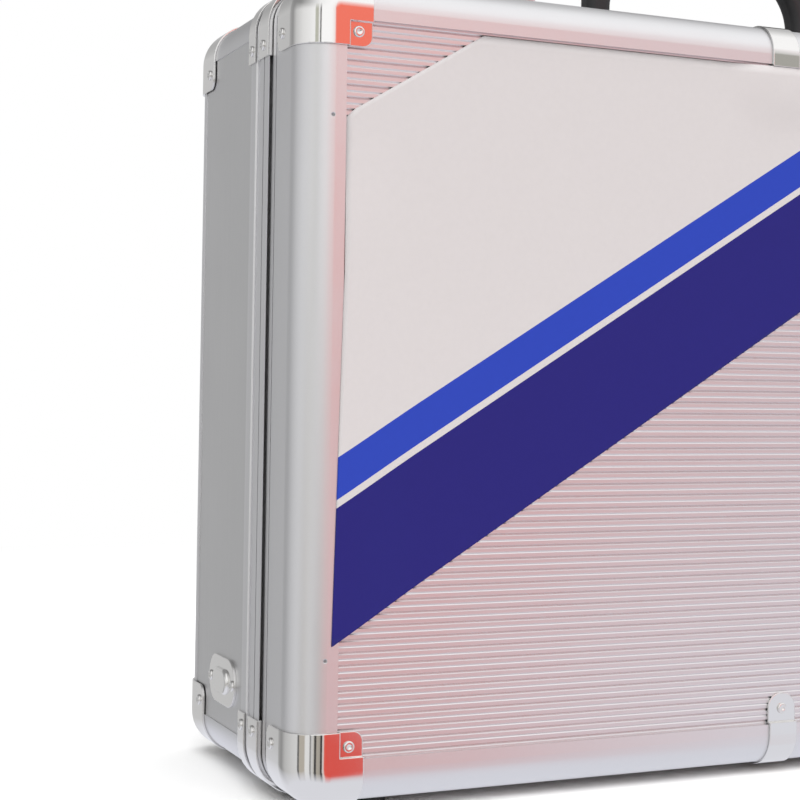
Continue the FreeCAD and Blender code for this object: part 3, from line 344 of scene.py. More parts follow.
def new_material(name: str) -> tuple[bpy.types.Material, Graph, Socket, bpy.types.Node]:
    """Start a material with a Principled shader and object coordinates.

    Args:
        name: The material's name.

    Returns:
        The material, its graph, the object coordinates and the shader.
    """
    material = bpy.data.materials.new(name)
    material.use_nodes = True
    material.node_tree.nodes.clear()
    graph = Graph(material.node_tree)
    place = graph.add("ShaderNodeTexCoord").outputs["Object"]
    shader = graph.add("ShaderNodeBsdfPrincipled")
    graph.add("ShaderNodeOutputMaterial", {"Surface": shader.outputs[0]})
    return material, graph, place, shader


@dataclass(frozen=True)
class MetalFinish:
    """Bare, anodised or plated metal."""

    name: str
    colour: Colour
    roughness: float
    marks: float
    grain: Grain
    grain_depth: float
    grain_tint: float
    dent_depth: float = 0.0
    dent_shade: float = 0.4
    crevice_reach: float = 0.0025
    edge_rounding: float = 0.0
    edge_samples: int = 8

    def build(self, effects: Effects) -> bpy.types.Material:
        """Make the material.

        Args:
            effects: The shared node groups.

        Returns:
            The material.
        """
        material, graph, place, shader = new_material(self.name)
        marks = graph.group(effects.marks, Place=place, Amount=self.marks)
        height = graph.group(effects.grain, Place=place, Stretch=self.grain.value)
        painted_crevice_shade = graph.group(effects.painted_crevice_shade, Reach=self.crevice_reach)
        tint = graph.math("MULTIPLY_ADD", height, self.grain_tint, 1.0 - self.grain_tint / 2)
        # painted shade: the colour darkens in narrow gaps
        tint = graph.math("MULTIPLY", tint, painted_crevice_shade)
        bump = graph.bump(height, self.grain_depth)
        if self.edge_rounding:
            edges = graph.add("ShaderNodeBevel", {"Radius": self.edge_rounding}, samples=self.edge_samples)
            graph.feed(bump.inputs["Normal"], edges.outputs[0])
        if self.dent_depth:
            dents = graph.group(effects.dents, Place=place)
            deeper = graph.bump(dents, self.dent_depth)
            graph.feed(deeper.inputs["Normal"], bump.outputs[0])
            bump = deeper
            # painted shade: the colour darkens in the punch marks' hollows
            shade = graph.math("MULTIPLY_ADD", dents, 1.0 - self.dent_shade, self.dent_shade)
            tint = graph.math("MULTIPLY", tint, shade)
        graph.feed(shader.inputs["Base Color"], graph.scaled(self.colour, tint))
        graph.feed(shader.inputs["Metallic"], 1.0)
        graph.feed(shader.inputs["Roughness"], graph.math("ADD", marks, self.roughness))
        graph.feed(shader.inputs["Normal"], bump.outputs[0])
        return material


@dataclass(frozen=True)
class PlasticFinish:
    """Moulded plastic with a fine grain."""

    name: str
    colour: Colour
    roughness: float
    grain_scale: float
    grain_depth: float
    marks: float = 0.2

    def build(self, effects: Effects) -> bpy.types.Material:
        """Make the material.

        Args:
            effects: The shared node groups.

        Returns:
            The material.
        """
        material, graph, place, shader = new_material(self.name)
        marks = graph.group(effects.marks, Place=place, Amount=self.marks)
        nap = graph.group(effects.nap, Place=place, Scale=self.grain_scale)
        graph.feed(shader.inputs["Base Color"], self.colour)
        graph.feed(shader.inputs["Roughness"], graph.math("ADD", marks, self.roughness))
        graph.feed(shader.inputs["Normal"], graph.bump(nap, self.grain_depth).outputs[0])
        return material


@dataclass(frozen=True)
class FoamFinish:
    """Foam or woven lining with a soft nap."""

    name: str
    colour: Colour
    cell_scale: float
    cell_depth: float
    cell_tint: float = 0.5
    cell_shade: float = 0.6
    roughness: float = 0.95
    sheen: float = 0.25

    def build(self, effects: Effects) -> bpy.types.Material:
        """Make the material.

        Args:
            effects: The shared node groups.

        Returns:
            The material.
        """
        material, graph, place, shader = new_material(self.name)
        nap = graph.group(effects.nap, Place=place, Scale=self.cell_scale)
        shade = graph.math("MULTIPLY_ADD", nap, self.cell_tint, self.cell_shade)
        graph.feed(shader.inputs["Base Color"], graph.scaled(self.colour, shade))
        graph.feed(shader.inputs["Roughness"], self.roughness)
        graph.feed(shader.inputs["Sheen Weight"], self.sheen)
        graph.feed(shader.inputs["Normal"], graph.bump(nap, self.cell_depth).outputs[0])
        return material


FINISHES = {finish.name: finish for finish in (
    MetalFinish("frame_aluminium", srgb(228, 228, 230), roughness=0.40, marks=0.10, grain=Grain.EVEN,
                grain_depth=0.000006, grain_tint=0.03, dent_depth=0.0006),
    MetalFinish("ribbed_board", srgb(226, 224, 226), roughness=0.36, marks=0.12, grain=Grain.ALONG_X,
                grain_depth=0.000012, grain_tint=0.06),
    MetalFinish("flat_board", srgb(216, 216, 217), roughness=0.38, marks=0.10, grain=Grain.ALONG_Z,
                grain_depth=0.00001, grain_tint=0.08),
    MetalFinish("chromed_fittings", srgb(232, 231, 230), roughness=0.07, marks=0.06, grain=Grain.EVEN,
                grain_depth=0.000003, grain_tint=0.0, crevice_reach=0.004, edge_rounding=0.0006),
    MetalFinish("steel_fittings", srgb(205, 205, 206), roughness=0.30, marks=0.16, grain=Grain.EVEN,
                grain_depth=0.00001, grain_tint=0.05),
    PlasticFinish("handle_plastic", srgb(30, 30, 32), roughness=0.48, grain_scale=1400.0,
                  grain_depth=0.00006),
    PlasticFinish("foot_plastic", srgb(34, 34, 35), roughness=0.6, grain_scale=1400.0,
                  grain_depth=0.00006),
    PlasticFinish("tool_board", srgb(48, 48, 51), roughness=0.55, grain_scale=900.0,
                  grain_depth=0.0001),
    FoamFinish("foam_lining", srgb(62, 62, 66), cell_scale=900.0, cell_depth=0.0005),
    FoamFinish("elastic_band", srgb(34, 34, 36), cell_scale=1600.0, cell_depth=0.0002),
    FoamFinish("sewing_thread", srgb(70, 70, 74), cell_scale=2600.0, cell_depth=0.00005),
)}


@dataclass
class Wardrobe:
    """Gives every node of the case the finish of its material slot."""

    effects: Effects
    made: dict[str, bpy.types.Material] = field(default_factory=dict)

    def material(self, slot: str) -> bpy.types.Material:
        """Return the material of a slot, made once.

        Args:
            slot: The record's material slot.

        Returns:
            The material.
        """
        if slot not in self.made:
            self.made[slot] = FINISHES[slot].build(self.effects)
        return self.made[slot]

    def dress(self, subparts: list[dict[str, Any]], nodes: dict[str, bpy.types.Object]) -> None:
        """Assign the finishes.

        Args:
            subparts: The record's nodes and slots.
            nodes: The objects of the frame.
        """
        for part in subparts:
            mesh = nodes[part["node"]].data
            mesh.materials.clear()
            mesh.materials.append(self.material(part["material_slot"]))
            LOG.info("%s dressed as %s", part["node"], part["material_slot"])


def add_mesh(name: str, form: bmesh.types.BMesh) -> bpy.types.Object:
    """Turn a form into a smooth object of the scene.

    Args:
        name: Name of the object and its mesh.
        form: The form, which is freed.

    Returns:
        The object.
    """
    bmesh.ops.remove_doubles(form, verts=form.verts[:], dist=WELD_REACH)
    bmesh.ops.recalc_face_normals(form, faces=form.faces[:])
    mesh = bpy.data.meshes.new(name)
    form.to_mesh(mesh)
    form.free()
    mesh.shade_smooth()
    made = bpy.data.objects.new(name, mesh)
    bpy.context.collection.objects.link(made)
    return made


def loft(form: bmesh.types.BMesh, rings: list[list[Vector]]) -> list[list[Vert]]:
    """Join closed rings of points with quads.

    Args:
        form: The form to add to.
        rings: Rings with the same number of points each.

    Returns:
        The rings' vertices.
    """
    rows = [[form.verts.new(point) for point in ring] for ring in rings]
    for lower, upper in zip(rows, rows[1:]):
        for index in range(len(lower)):
            following = (index + 1) % len(lower)
            form.faces.new((lower[index], lower[following], upper[following], upper[index]))
    return rows


@dataclass
class PrintedSheet:
    """Plain printed sheet: it lies on the lid's board, the strap's lug and, at its foot, the frame."""

    board: str = "lid_front_panel"
    cover: str = "lid_frame"
    body: str = "lid"
    foot: Place = (-0.2120, 0.0664)
    right: Place = (0.1848, 0.3138)
    left: Place = (-0.1487, 0.3138)
    shoulder: Place = (-0.2087, 0.2766)
    foot_cut_share: float = 0.001
    slant_share: float = 0.7
    lug: Place = (0.0, 0.3082)
    lug_lift: float = 0.0021
    lug_stretch: float = 1.25
    lug_reach: float = 0.026
    lug_slope: float = 0.020
    lap_margin: float = 0.0002
    lap_slope: float = 0.034
    lap_fade: float = 0.05
    clearance: float = 0.00005
    thickness: float = 0.00025
    rows: int = 64
    columns: int = 96
    ground: Colour = srgb(188, 184, 184)
    navy: Colour = srgb(22, 20, 104)
    blue: Colour = srgb(28, 56, 160)
    stripe_reach: float = 0.1
    stripe_shares: tuple[float, float, float] = (0.45, 0.48, 0.62)
    fibre_scale: float = 420.0
    fibre_tint: float = 0.05
    roughness: float = 0.42
    gloss: float = 0.28

    def build(self) -> bpy.types.Object:
        """Make the sheet and let it ride on the lid.

        Returns:
            The sheet.
        """
        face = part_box(self.board)[0].y
        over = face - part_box(self.cover)[0].y
        form = bmesh.new()
        sides = []
        for proud in (0.0, self.thickness):
            sides.append([[form.verts.new((x, face - self.lift(x, z, over) - proud, z)) for x, z in line]
                          for line in self.lines()])
        under, outer = sides
        for lower, upper, flip in ((under, under[1:], False), (outer, outer[1:], True)):
            for first, second in zip(lower, upper):
                for index in range(self.columns):
                    corners = [first[index], first[index + 1], second[index + 1], second[index]]
                    form.faces.new(corners[::-1] if flip else corners)
        for back, front in zip(self.border(under), self.border(outer)):
            form.faces.new((back[0], back[1], front[1], front[0]))
        sheet = add_mesh("printed_sheet", form)
        sheet.data.materials.append(self.paper())
        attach(sheet, self.body)
        return sheet

    def lines(self) -> list[list[Place]]:
        """Return the sheet's points in rows from its foot to its top edge.

        Returns:
            Rows of places in X and Z.
        """
        rows = []
        height = self.right[1] - self.foot[1]
        for row in range(self.rows + 1):
            rise = self.foot_cut_share + (1.0 - self.foot_cut_share) * row / self.rows
            z = self.foot[1] + height * rise
            end = self.foot[0] + (self.right[0] - self.foot[0]) * rise
            if z < self.shoulder[1]:
                share = (z - self.foot[1]) / (self.shoulder[1] - self.foot[1])
                slant = min(1.0, share / self.slant_share)
                start = self.foot[0] + (self.shoulder[0] - self.foot[0]) * slant
            else:
                share = (z - self.shoulder[1]) / (self.left[1] - self.shoulder[1])
                start = self.shoulder[0] + (self.left[0] - self.shoulder[0]) * share
            rows.append([(start + (end - start) * step / self.columns, z)
                         for step in range(self.columns + 1)])
        return rows

    @staticmethod
    def border(grid: list[list[Vert]]) -> list[tuple[Vert, Vert]]:
        """List the edges round one side of the sheet.

        Args:
            grid: The side's points in rows.

        Returns:
            Pairs of neighbouring points.
        """
        up, down = [row[-1] for row in grid[1:]], [row[0] for row in grid[-2:0:-1]]
        loop = grid[0] + up + grid[-1][-2::-1] + down
        return list(zip(loop, loop[1:] + loop[:1]))

    def lift(self, x: float, z: float, over: float) -> float:
        """Return how far the sheet's back stands off the board.

        Args:
            x: Place across the case.
            z: Height of the place.
            over: How far the frame stands off the board.

        Returns:
            The distance.
        """
        lap_end = self.shoulder[0] + self.lap_margin + self.lap_slope
        lap = soft_step((lap_end - x) / self.lap_slope) * soft_step((self.shoulder[1] - z) / self.lap_fade)
        reach = math.hypot((x - self.lug[0]) / self.lug_stretch, z - self.lug[1])
        bulge = self.lug_lift * soft_step((self.lug_reach - reach) / self.lug_slope)
        return self.clearance + (over + self.clearance) * lap + bulge

    def paper(self) -> bpy.types.Material:
        """Make the coated paper with plain bands along its lower edge.

        Returns:
            The material.
        """
        material, graph, place, shader = new_material("printed_paper")
        angle = math.atan2(self.right[1] - self.foot[1], self.right[0] - self.foot[0])
        across = (-math.sin(angle), 0.0, math.cos(angle))
        start = Vector(across).dot(Vector((self.foot[0], 0.0, self.foot[1])))
        along = graph.vector("DOT_PRODUCT", place, across)["Value"]
        share = graph.math("DIVIDE", graph.math("SUBTRACT", along, start), self.stripe_reach)
        inks = (self.navy, self.ground, self.blue, self.ground)
        colour = graph.ramp(share, list(zip((0.0, *self.stripe_shares), inks)), constant=True)
        fibre = graph.noise(place, self.fibre_scale, detail=4.0)
        shade = graph.math("MULTIPLY_ADD", fibre, self.fibre_tint, 1.0 - self.fibre_tint / 2)
        graph.feed(shader.inputs["Base Color"], graph.scaled(colour, shade))
        graph.feed(shader.inputs["Roughness"], self.roughness)
        graph.feed(shader.inputs["Specular IOR Level"], self.gloss)
        return material


@dataclass
class FoamTray:
    """Foam lining cut as a tray: a soft rounded rim, hollowed walls and a crowned floor."""

    node: str
    body: str
    opens: int
    wall: float = 0.006
    corner: float = 0.005
    across: int = 56
    upright: int = 42
    bend: int = 6
    rim_steps: int = 8
    wall_shares: tuple[float, ...] = (0.1, 0.25, 0.5, 0.75, 0.9)
    crown: float = 0.0012
    crown_power: float = 0.3

    def build(self, material: bpy.types.Material) -> bpy.types.Object:
        """Make the tray in place of its solid.

        Args:
            material: The foam.

        Returns:
            The tray.
        """
        low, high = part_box(self.node)
        back, rim = (low.y, high.y) if self.opens > 0 else (high.y, low.y)
        form = bmesh.new()
        loft(form, [self.ring(low, high, inset, radius, rim - self.opens * depth)
                    for inset, radius, depth in self.profile(abs(rim - back))])
        self.floor(form, low, high, back + self.opens * self.wall)
        tray = add_mesh(f"{self.node}_foam", form)
        tray.data.materials.append(material)
        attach(tray, self.body)
        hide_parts(self.node)
        return tray

    def profile(self, height: float) -> list[tuple[float, float, float]]:
        """List the tray's section from the outer foot over the rim to the floor.

        Args:
            height: Height of the tray.

        Returns:
            Inset from the outside, corner radius and depth below the rim of each ring.
        """
        half = self.wall / 2
        rows = [(0.0, self.corner, height), (0.0, self.corner, half)]
        for step in range(1, self.rim_steps):
            angle = math.pi * step / self.rim_steps
            rows.append((half - half * math.cos(angle), self.corner, half - half * math.sin(angle)))
        floor = height - self.wall
        for share in self.wall_shares:
            bow = math.sin(math.pi * share) * self.crown / 2
            rows.append((self.wall - bow, self.corner * (1.0 - share), half + (floor - half) * share))
        rows.append((self.wall, 0.0, floor))
        return rows

    def ring(self, low: Vector, high: Vector, inset: float, radius: float, depth: float) -> list[Vector]:
        """Return one rounded outline of the tray.

        Args:
            low: Lowest corner of the solid.
            high: Highest corner of the solid.
            inset: How far inside the solid's outline.
            radius: Corner radius.
            depth: Place along Y.

        Returns:
            Its points.
        """
        left, right, bottom, top = low.x + inset, high.x - inset, low.z + inset, high.z - inset
        outline = ((left, bottom), (right, bottom), (right, top), (left, top))
        corners = [Vector(corner) for corner in outline]
        points = []
        for quarter, first in enumerate(corners):
            last = corners[(quarter + 1) % len(corners)]
            count = self.upright if quarter % 2 else self.across
            along = (last - first).normalized()
            span = (last - first).length - 2 * radius
            for step in range(count + 1):
                place = first + along * (radius + span * step / count)
                points.append(Vector((place.x, depth, place.y)))
            centre = last - along * radius + Vector((-along.y, along.x)) * radius
            for step in range(1, self.bend):
                angle = math.pi / 2 * (quarter - 1 + step / self.bend)
                x, z = centre.x + radius * math.cos(angle), centre.y + radius * math.sin(angle)
                points.append(Vector((x, depth, z)))
        return points

    def floor(self, form: bmesh.types.BMesh, low: Vector, high: Vector, depth: float) -> None:
        """Add the floor, soft and slightly crowned.

        Args:
            form: The form to add to.
            low: Lowest corner of the solid.
            high: Highest corner of the solid.
            depth: Place of the floor along Y.
        """
        rows = []
        for row in range(self.upright + 1):
            z_share = row / self.upright
            line = []
            for column in range(self.across + 1):
                x_share = column / self.across
                swell = math.sin(math.pi * x_share) * math.sin(math.pi * z_share)
                rim = row in (0, self.upright) or column in (0, self.across)
                sink = 0.0 if rim else self.crown * (1.0 - swell ** self.crown_power)
                x = low.x + self.wall + (high.x - low.x - 2 * self.wall) * x_share
                z = low.z + self.wall + (high.z - low.z - 2 * self.wall) * z_share
                line.append(form.verts.new((x, depth - self.opens * sink, z)))
            rows.append(line)
        for lower, upper in zip(rows, rows[1:]):
            for index in range(self.across):
                form.faces.new((lower[index], lower[index + 1], upper[index + 1], upper[index]))


@dataclass
class ToolBands:
    """Elastic bands sewn down at intervals, so that they stand off in loops for tools."""

    node: str = "tool_bands"
    body: str = "lid"
    count: int = 3
    width: float = 0.026
    loops: int = 9
    loop_steps: int = 16
    loop_power: float = 0.7
    rise: float = 0.0022
    thickness: float = 0.0009
    edge_share: float = 0.97
    stitch_length: float = 0.0024
    stitch_spacing: float = 0.0034
    stitch_steps: int = 4
    seam_offset: float = 0.0012
    seam_margin: float = 0.001
    thread_radius: float = 0.00028
    thread_sides: int = 6
    thread_flat_share: float = 0.8

    def build(self, material: bpy.types.Material, thread: bpy.types.Material) -> list[bpy.types.Object]:
        """Make the bands and their stitches in place of the solid.

        Args:
            material: The woven elastic.
            thread: The thread.

        Returns:
            The bands and the stitches.
        """
        low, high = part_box(self.node)
        spacing = (high.z - low.z - self.width) / (self.count - 1)
        bands, stitches = bmesh.new(), bmesh.new()
        for number in range(self.count):
            middle = low.z + self.width / 2 + spacing * number
            self.band(bands, low, high, middle)
            self.sew(stitches, low, high, middle)
        made = [add_mesh("tool_band_loops", bands), add_mesh("tool_band_stitches", stitches)]
        for piece, look in zip(made, (material, thread)):
            piece.data.materials.append(look)
            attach(piece, self.body)
        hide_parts(self.node)
        return made

    def lift(self, share: float) -> float:
        """Return how far the band stands off the board at a share of its length."""
        return self.rise * abs(math.sin(math.pi * share * self.loops)) ** self.loop_power

    def band(self, form: bmesh.types.BMesh, low: Vector, high: Vector, middle: float) -> None:
        """Add one band as a lofted strip with rounded edges.

        Args:
            form: The form to add to.
            low: Lowest corner of the solid.
            high: Highest corner of the solid.
            middle: Height of the band's middle.
        """
        steps = self.loops * self.loop_steps
        half = self.width / 2
        flat = half * self.edge_share
        section = [(-half, 0.5), (-flat, 0.0), (flat, 0.0), (half, 0.5), (flat, 1.0), (-flat, 1.0)]
        rings = []
        for step in range(steps + 1):
            share = step / steps
            x = low.x + (high.x - low.x) * share
            base = low.y + self.lift(share)
            rings.append([Vector((x, base + self.thickness * up, middle + side)) for side, up in section])
        rows = loft(form, rings)
        form.faces.new(rows[0])
        form.faces.new(rows[-1])

    def sew(self, form: bmesh.types.BMesh, low: Vector, high: Vector, middle: float) -> None:
        """Add two rows of stitches where the band is sewn down.

        Args:
            form: The form to add to.
            low: Lowest corner of the solid.
            high: Highest corner of the solid.
            middle: Height of the band's middle.
        """
        rows = int(self.width / self.stitch_spacing)
        for seam in range(self.loops + 1):
            centre = low.x + (high.x - low.x) * seam / self.loops
            for shift in (-self.seam_offset, self.seam_offset):
                x = min(max(centre + shift, low.x + self.seam_margin), high.x - self.seam_margin)
                share = (x - low.x) / (high.x - low.x)
                face = low.y + self.lift(share) + self.thickness
                for row in range(rows):
                    z = middle + (row - (rows - 1) / 2) * self.stitch_spacing
                    self.stitch(form, Vector((x, face, z)))

    def stitch(self, form: bmesh.types.BMesh, place: Vector) -> None:
        """Add one stitch: a short thread that arches out of the band and back into it.

        Args:
            form: The form to add to.
            place: Its middle on the band's face.
        """
        radius = self.thread_radius
        turns = [math.tau * corner / self.thread_sides for corner in range(self.thread_sides)]
        rings = []
        for step in range(self.stitch_steps + 1):
            share = step / self.stitch_steps
            rise = radius * math.sin(math.pi * share)
            along = self.stitch_length * (share - 0.5)
            rings.append([
                place + Vector((radius * math.cos(turn),
                                rise + radius * math.sin(turn) * self.thread_flat_share, along))
                for turn in turns])
        loft(form, rings)


# Colours that the metal mirrors at its own level, lower and above, by the share of a full turn that
# starts straight behind the case and goes round by its left: 0.25 is the left, 0.5 the front.
RING_LEVEL: Stops = [
    (0.0, grey(0.61)), (0.044, grey(0.63)), (0.075, grey(0.42)), (0.12, grey(0.34)), (0.17, grey(0.66)),
    (0.25, grey(0.88)), (0.306, grey(0.96)), (0.362, grey(1.06)), (0.366, (0.56, 0.57, 0.48)),
    (0.392, (0.60, 0.60, 0.53)), (0.396, grey(1.1)), (0.404, grey(1.1)), (0.407, grey(0.04)),
    (0.414, grey(0.04)), (0.418, grey(1.16)), (0.503, grey(1.16)), (0.520, (1.12, 1.06, 1.04)),
    (0.536, (1.04, 0.88, 0.86)), (0.540, (1.08, 0.22, 0.15)), (0.570, (1.08, 0.24, 0.17)),
    (0.575, (0.86, 0.62, 0.65)), (0.591, (0.83, 0.65, 0.68)), (0.593, (0.44, 0.44, 0.40)),
    (0.603, (0.44, 0.44, 0.40)), (0.605, (0.82, 0.65, 0.68)), (0.63, (0.77, 0.66, 0.69)),
    (0.66, (0.76, 0.72, 0.74)), (0.70, grey(0.76)), (0.80, grey(0.66)), (0.90, grey(0.55)),
    (1.0, grey(0.53))]
RING_LOWER: Stops = [
    (0.0, grey(0.61)), (0.044, grey(0.63)), (0.075, grey(0.40)), (0.12, grey(0.32)), (0.17, grey(0.56)),
    (0.25, grey(0.70)), (0.30, grey(0.76)), (0.305, grey(0.12)), (0.315, grey(0.12)),
    (0.32, (0.52, 0.48, 0.42)), (0.365, (0.52, 0.48, 0.42)), (0.37, grey(0.86)), (0.407, grey(0.86)),
    (0.412, grey(0.10)), (0.426, grey(0.74)), (0.444, (0.62, 0.60, 0.55)), (0.449, grey(0.06)),
    (0.462, grey(0.05)), (0.467, (0.50, 0.46, 0.40)), (0.496, (0.42, 0.39, 0.34)), (0.500, grey(0.03)),
    (0.512, grey(0.03)), (0.517, (0.82, 0.74, 0.72)), (0.528, (0.80, 0.66, 0.63)),
    (0.532, (0.86, 0.12, 0.09)), (0.560, (0.80, 0.10, 0.08)), (0.566, (0.76, 0.60, 0.62)),
    (0.63, (0.75, 0.67, 0.70)),
    (0.66, (0.75, 0.72, 0.74)), (0.70, grey(0.76)), (0.80, grey(0.66)), (1.0, grey(0.53))]
RING_ABOVE: Stops = [
    (0.0, grey(0.28)), (0.20, grey(0.32)), (0.30, grey(0.62)), (0.40, grey(1.05)), (0.50, grey(1.18)),
    (0.72, grey(1.12)), (0.86, grey(0.6)), (1.0, grey(0.36))]


@dataclass
class Studio:
    """White floor, soft surroundings, one overhead light and the photograph's camera.

    A span is the pair of values between which an effect goes from none to full.
    """

    location: tuple[float, float, float] = (-0.4440, -0.7125, 0.1667)
    turn: tuple[float, float, float] = (92.090, -0.680, -24.855)
    lens: float = 77.20
    sensor: float = 36.0
    shift: Place = (-0.1, -0.0875)
    near_clip: float = 0.01
    side: int = 800
    white: Colour = (1.0, 1.0, 1.0)
    pale: Colour = (0.82, 0.83, 0.89)
    lower_span: Span = (0.12, -0.13)
    above_span: Span = (0.235, 0.46)
    floor_size: float = 8.0
    floor_shade: float = 0.895
    floor_tint: float = 0.01
    floor_scale: float = 3.0
    floor_roughness: float = 0.7
    floor_gloss: float = 0.1
    plain_span: Span = (0.5, 1.1)
    steep_span: Span = (0.34, 0.66)
    right_span: Span = (-0.16, 0.06)
    close_span: Span = (-0.8, -0.2)
    footprint: Place = (0.2135, 0.058)
    beneath_span: Span = (0.06, 0.02)
    shadow_reach: float = 0.006
    shadow_level: float = 0.05
    opening_reach: float = 0.4
    opening_span: Span = (1.0, 0.97)
    opening_samples: int = 32
    overhead: float = 56.0
    overhead_size: float = 2.4
    overhead_place: tuple[float, float, float] = (-0.2, -0.55, 1.9)

    def build(self) -> None:
        """Make the whole studio."""
        ring = self.make_ring()
        self.surroundings(ring)
        self.floor(ring)
        self.light()
        self.camera()

    def make_ring(self) -> bpy.types.NodeTree:
        """Make what the metal mirrors: grey behind, pale at the left, warm in front, bright above.

        Returns:
            The group: direction in, colour out.
        """
        graph, inputs, outputs = start_group(
            "studio_ring", {"Direction": "NodeSocketVector"}, {"Colour": "NodeSocketColor"})
        parts = graph.add("ShaderNodeSeparateXYZ", {0: inputs["Direction"]}).outputs
        heading = graph.math("ARCTAN2", parts["X"], graph.math("MULTIPLY", parts["Y"], -1.0))
        turn = graph.math("MULTIPLY_ADD", heading, 1 / math.tau, 0.5)
        level, lower, above = (graph.ramp(turn, stops) for stops in (RING_LEVEL, RING_LOWER, RING_ABOVE))
        beside = graph.mix(graph.span(parts["Z"], *self.lower_span), level, lower)
        graph.feed(outputs["Colour"], graph.mix(graph.span(parts["Z"], *self.above_span), beside, above))
        return graph.tree

    def surroundings(self, ring: bpy.types.NodeTree) -> None:
        """Make the background: white to the camera, and the ring of colours to everything else.

        Args:
            ring: The surroundings by direction.
        """
        world = bpy.data.worlds.new("studio")
        world.use_nodes = True
        world.node_tree.nodes.clear()
        graph = Graph(world.node_tree)
        direction = graph.add("ShaderNodeTexCoord").outputs["Generated"]
        around = graph.group(ring, Direction=direction)
        seen = graph.add("ShaderNodeLightPath").outputs["Is Camera Ray"]
        colour = graph.mix(seen, around, self.white)
        background = graph.add("ShaderNodeBackground", {"Color": colour, "Strength": 1.0})
        graph.add("ShaderNodeOutputWorld", {"Surface": background.outputs[0]})
        bpy.context.scene.world = world

    def floor(self, ring: bpy.types.NodeTree) -> None:
        """Make the white floor, which to glossy rays glows with a painted reflection, so that the metal
        sees the surroundings mirrored in it.

        Where the opened lid swings below it, the floor is clear, so that the lid can be seen.

        Args:
            ring: The surroundings by direction.
        """
        bpy.ops.mesh.primitive_plane_add(size=self.floor_size)
        plane = bpy.context.active_object
        plane.name = "floor"
        material, graph, place, shader = new_material("white_floor")
        geometry = graph.add("ShaderNodeNewGeometry").outputs
        path = graph.add("ShaderNodeLightPath").outputs
        near = self.floor_paint(graph, place, shader)
        painted_reflection = self.floor_painted_reflection(graph, place, geometry["Incoming"], ring)
        direct = graph.math("LESS_THAN", path["Diffuse Depth"], 0.5)
        glossy = graph.math("MULTIPLY", path["Is Glossy Ray"], direct)
        # glossy rays without a diffuse bounce see the glowing painted reflection instead of the lit floor
        surface = graph.mix_shaders(glossy, near, painted_reflection)
        below = graph.add("ShaderNodeAmbientOcclusion", {"Distance": self.opening_reach}, inside=True,
                          samples=self.opening_samples)
        under = graph.span(below.outputs["AO"], *self.opening_span)
        under = graph.math("MULTIPLY", under, path["Is Camera Ray"])
        gone = graph.math("MAXIMUM", geometry["Backfacing"], under)
        whole = graph.mix_shaders(gone, surface, graph.add("ShaderNodeBsdfTransparent"))
        graph.feed(graph.tree.nodes["Material Output"].inputs["Surface"], whole.outputs[0])
        material.cycles.emission_sampling = "NONE"
        plane.data.materials.append(material)

    def floor_paint(self, graph: Graph, place: Socket, shader: bpy.types.Node) -> bpy.types.Node:
        """Make the floor's own look: matt white that takes shadows, and plain white further off.

        Args:
            graph: The floor's graph.
            place: The place on the floor.
            shader: The floor's Principled shader.

        Returns:
            The look.
        """
        tone = graph.noise(place, self.floor_scale, detail=2.0)
        shade = graph.math("MULTIPLY_ADD", tone, self.floor_tint, self.floor_shade)
        paint = graph.add("ShaderNodeCombineXYZ", {0: shade, 1: shade, 2: shade})
        graph.feed(shader.inputs["Base Color"], paint.outputs[0])
        graph.feed(shader.inputs["Roughness"], self.floor_roughness)
        graph.feed(shader.inputs["Specular IOR Level"], self.floor_gloss)
        away = graph.span(graph.vector("LENGTH", place)["Value"], *self.plain_span)
        plain = graph.add("ShaderNodeEmission", {"Color": self.white, "Strength": 1.0})
        return graph.mix_shaders(away, shader, plain)

    def floor_painted_reflection(self, graph: Graph, place: Socket, incoming: Socket,
                     ring: bpy.types.NodeTree) -> bpy.types.Node:
        """Paint the floor's glow for the metal: painted reflection of the surroundings far off, pale near,
        painted shadow beneath.

        Args:
            graph: The floor's graph.
            place: The place on the floor.
            incoming: Where the ray comes from.
            ring: The surroundings by direction.

        Returns:
            The look.
        """
        around = graph.group(ring, Direction=graph.scaled(incoming, -1.0))
        level = graph.add("ShaderNodeSeparateXYZ", {0: incoming}).outputs["Z"]
        steep = graph.span(level, *self.steep_span)
        spot = graph.add("ShaderNodeSeparateXYZ", {0: place}).outputs
        right = graph.span(spot["X"], *self.right_span)
        close = graph.span(spot["Y"], *self.close_span)
        gaps = []
        for axis, half in zip("XY", self.footprint):
            outside = graph.math("SUBTRACT", graph.math("ABSOLUTE", spot[axis]), half)
            gaps.append(graph.math("MAXIMUM", outside, 0.0))
        clear = graph.math("MAXIMUM", *gaps)
        beneath = graph.span(clear, *self.beneath_span)
        corner = graph.math("MULTIPLY", right, close)
        # painted reflection: pale where rays come in steeply, close round the case, and off the front
        # right
        white = graph.math("MAXIMUM", graph.math("MAXIMUM", steep, beneath), corner)
        seen = graph.mix(white, around, self.pale)
        # painted shadow: the glow fades nearly to black close round the case's footprint
        painted_shadow_glow = graph.span(clear, 0.0, self.shadow_reach, self.shadow_level)
        return graph.add("ShaderNodeEmission", {"Color": seen, "Strength": painted_shadow_glow})

    def light(self) -> None:
        """Hang one broad soft light overhead, which the metal doesn't mirror."""
        lamp = bpy.data.lights.new("overhead", "AREA")
        lamp.size = self.overhead_size
        lamp.energy = self.overhead
        holder = bpy.data.objects.new("overhead", lamp)
        holder.location = self.overhead_place
        holder.visible_glossy = False
        bpy.context.collection.objects.link(holder)

    def camera(self) -> None:
        """Set the camera that matches the photograph."""
        lens = bpy.data.cameras.new("camera")
        lens.lens = self.lens
        lens.sensor_width = self.sensor
        lens.shift_x, lens.shift_y = self.shift
        lens.clip_start = self.near_clip
        holder = bpy.data.objects.new("camera", lens)
        holder.location = self.location
        holder.rotation_euler = [math.radians(angle) for angle in self.turn]
        bpy.context.collection.objects.link(holder)
        scene = bpy.context.scene
        scene.camera = holder
        scene.render.resolution_x = self.side
        scene.render.resolution_y = self.side
        scene.view_settings.view_transform = "Standard"


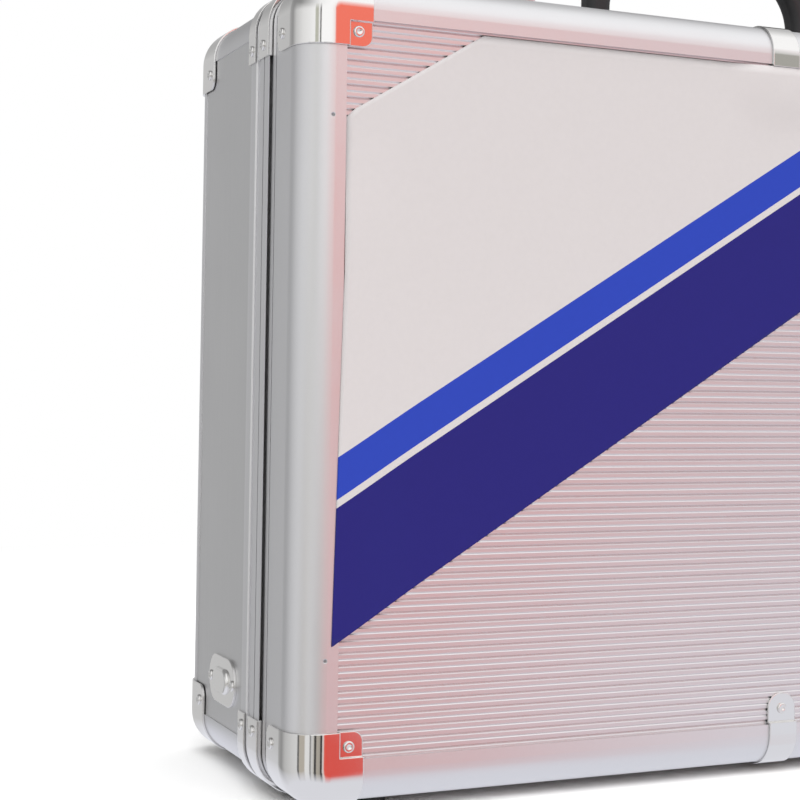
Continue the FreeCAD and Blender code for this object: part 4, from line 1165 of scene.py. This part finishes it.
def main() -> None:
    """Dress the case, add its paper and soft pieces, and set the studio."""
    logging.basicConfig(level=logging.INFO)
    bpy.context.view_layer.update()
    wardrobe = Wardrobe(Effects())
    wardrobe.dress(frame["record"]["subparts"], frame["nodes"])
    pieces = [PrintedSheet().build()]
    foam = wardrobe.material("foam_lining")
    pieces.append(FoamTray("base_liner", "base", opens=-1).build(foam))
    pieces.append(FoamTray("lid_liner", "lid", opens=1).build(foam))
    pieces += ToolBands().build(wardrobe.material("elastic_band"), wardrobe.material("sewing_thread"))
    for piece in pieces:
        LOG.info("%s built with %d faces", piece.name, len(piece.data.polygons))
    Studio().build()


if __name__ == "__main__":
    main()
